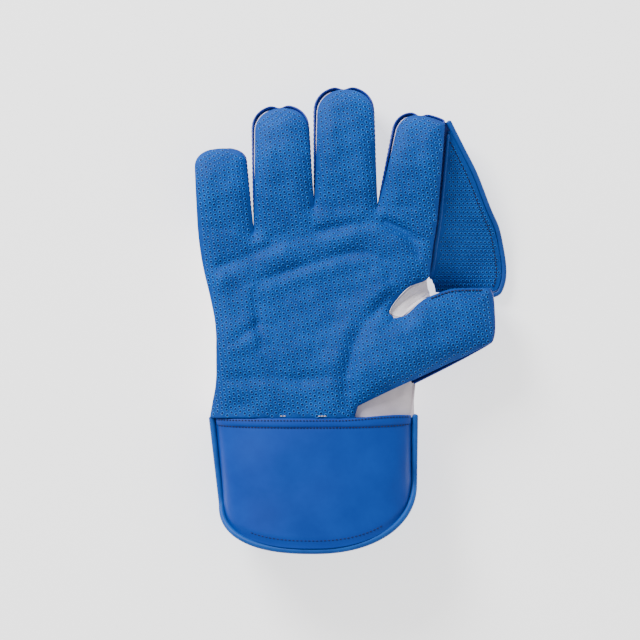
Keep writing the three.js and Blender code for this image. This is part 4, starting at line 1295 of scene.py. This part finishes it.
def add_stitches(name, rows, material, slot):
    """Joins rows of stitches into one piece."""
    firsts = np.cumsum([0] + [len(points) for points, _ in rows])
    points = np.concatenate([points for points, _ in rows])
    quads = np.concatenate([quads + first for (_, quads), first in zip(rows, firsts)])
    return add_piece(name, points, quads, material, slot)


# %% Stitches of the cuff
def on_cuff(u, t, above=0.0):
    """A path on the palm-side flap."""
    height = front_height(u, t) + cuff_relief(u, t) + above
    return np.column_stack([cuff_plan(u, t, panel_inset), height])


def on_band(u, s):
    """A path on the band."""
    return band_surface(u, np.full(len(u), s)) + [0, 0, hair]


# how far the rows lie from the flap's top and from its hem
below_top, above_hem = 7.1, 5.4
across, hem_across = np.linspace(-0.965, 0.965, 240), np.linspace(-0.7, 0.7, 240)
upper_row = on_cuff(across, np.full(240, below_top / cuff_length), 0.1)
hem_row = on_cuff(hem_across, np.full(240, 1 - above_hem / cuff_length), 0.05)
cuff_rows = [
    stitch_row(on_band(across, 0.2), pitch=2.2, length=1.6, width=1.0),
    stitch_row(upper_row, pitch=2.2, length=1.6, width=1.0),
    stitch_row(hem_row, pitch=2.6, length=1.9, width=0.6),
]
add_stitches("cuff_stitches", cuff_rows, navy_thread, "cuff_leather")

# %% Thread ends at the wrist

frays = []
above_wrist = 0.9
for middle, half in ((-20.7, 2.2), (6.0, 2.8)):
    along = np.linspace(middle - half, middle + half, 12)
    fray = np.column_stack([along, np.full(12, above_wrist)])
    fray = np.column_stack([fray, facing_height(fray) + 0.2])
    frays.append(stitch_row(fray, pitch=1.5, length=1.9, width=0.8))
add_stitches("wrist_threads", frays, white_thread, "white_leather")

# %% Stitches of the web and the thumb
web_stitch_t = np.linspace(0.06, 0.93, 200)
from_binding, from_thumb_edge = 5.4, 1.3
web_inset = aside_of(binding_line, web_stitch_t, -from_binding)
web_stitch = np.column_stack([web_inset, web_height_at(web_inset)])
thumb_seam_t = np.linspace(0.5, 0.97, 120)
thumb_seam = upper_thumb_line(thumb_seam_t) - from_thumb_edge * thumb_side
thumb_stitch = np.column_stack([thumb_seam, facing_height(thumb_seam)])
add_stitches("web_and_thumb_stitches", [
    stitch_row(web_stitch, pitch=2.4, length=1.9, width=1.1),
    stitch_row(thumb_stitch, pitch=2.3, length=2.0, width=1.5, lift=0.4),
], navy_thread, "pimple_rubber")

# %% Stitches round the stalls, below their rims
def rim_seam(block, below=4.5):
    """The block's left side, tip and right side, at a height below the rim."""
    left, tip, right = block[6:, 0], block[-1, 1:-1], block[6:, -1][::-1]
    seam = np.concatenate([left, tip, right])
    return np.column_stack([seam, rim_height(*seam.T) - below])


stall_rows = [
    stitch_row(rim_seam(back_blocks[finger[0]]), pitch=3.2, length=2.2, width=0.5)
    for finger in fingers
]
add_stitches("stall_stitches", stall_rows, navy_thread, "blue_leather")

# %% [markdown]
# ## Floor, light and camera
# The glove is shown on a plain pale floor under soft light, as in a shop picture. A large area
# light from the fingertips' side gives the gentle shading, and a pale world fills the shadows.
# The camera looks straight down at the palm from far away with a long lens, so that
# the outline isn't drawn wider where the glove is thicker.


# %% Floor
def plain_material(name, colour, roughness, glow):
    """One colour with a glow, for the floor that isn't part of the glove."""
    material = bpy.data.materials.new(name)
    material.use_nodes = True
    shader = material.node_tree.nodes["Principled BSDF"]
    shader.inputs["Base Color"].default_value = colour
    shader.inputs["Roughness"].default_value = roughness
    shader.inputs["Specular IOR Level"].default_value = 0.2
    shader.inputs["Emission Color"].default_value = colour
    shader.inputs["Emission Strength"].default_value = glow
    return material


floor_mesh = bpy.data.meshes.new("floor")
reach = 4.0
floor_mesh.from_pydata(
    [(-reach, -reach, 0), (reach, -reach, 0), (reach, reach, 0), (-reach, reach, 0)], [],
    [(0, 1, 2, 3)])
floor_mesh.materials.append(plain_material("pale_floor", srgb(243, 243, 243), 0.8, 1.6))
floor = bpy.data.objects.new("floor", floor_mesh)
bpy.context.scene.collection.objects.link(floor)
print("a floor", 2 * reach, "m wide")

# %% Lights
world = bpy.data.worlds.new("studio")
world.use_nodes = True
world.node_tree.nodes["Background"].inputs["Color"].default_value = (1, 1, 1, 1)
world.node_tree.nodes["Background"].inputs["Strength"].default_value = 0.62
bpy.context.scene.world = world


def add_area_light(name, place, size, power):
    """A square soft light aimed at the middle of the glove."""
    light = bpy.data.lights.new(name, "AREA")
    light.energy = power
    light.size = size
    lamp = bpy.data.objects.new(name, light)
    lamp.location = place
    aim = -np.array(place) / np.linalg.norm(place)
    lamp.rotation_mode = "QUATERNION"
    lamp.rotation_quaternion = Vector(aim).to_track_quat("-Z", "Y")
    bpy.context.scene.collection.objects.link(lamp)
    return lamp


add_area_light("key", (-1.3, 1.75, 1.4), 1.0, 96)
add_area_light("fill", (1.3, -0.8, 1.8), 1.8, 5)
print(len(bpy.data.lights), "lights")

# %% Camera
view_middle = np.array([4.5, 66.2]) + shift[:2]
camera_distance, picture_width, palm_level = 2.4, 0.4367, 0.038
camera = bpy.data.cameras.new("camera")
camera.sensor_width = 36
camera.lens = camera.sensor_width * camera_distance / picture_width
camera.clip_end = 20
eye = bpy.data.objects.new("camera", camera)
eye.location = (*(view_middle * MILLIMETRE), camera_distance + palm_level)
bpy.context.scene.collection.objects.link(eye)
bpy.context.scene.camera = eye
print("camera at", tuple(round(value, 3) for value in eye.location))
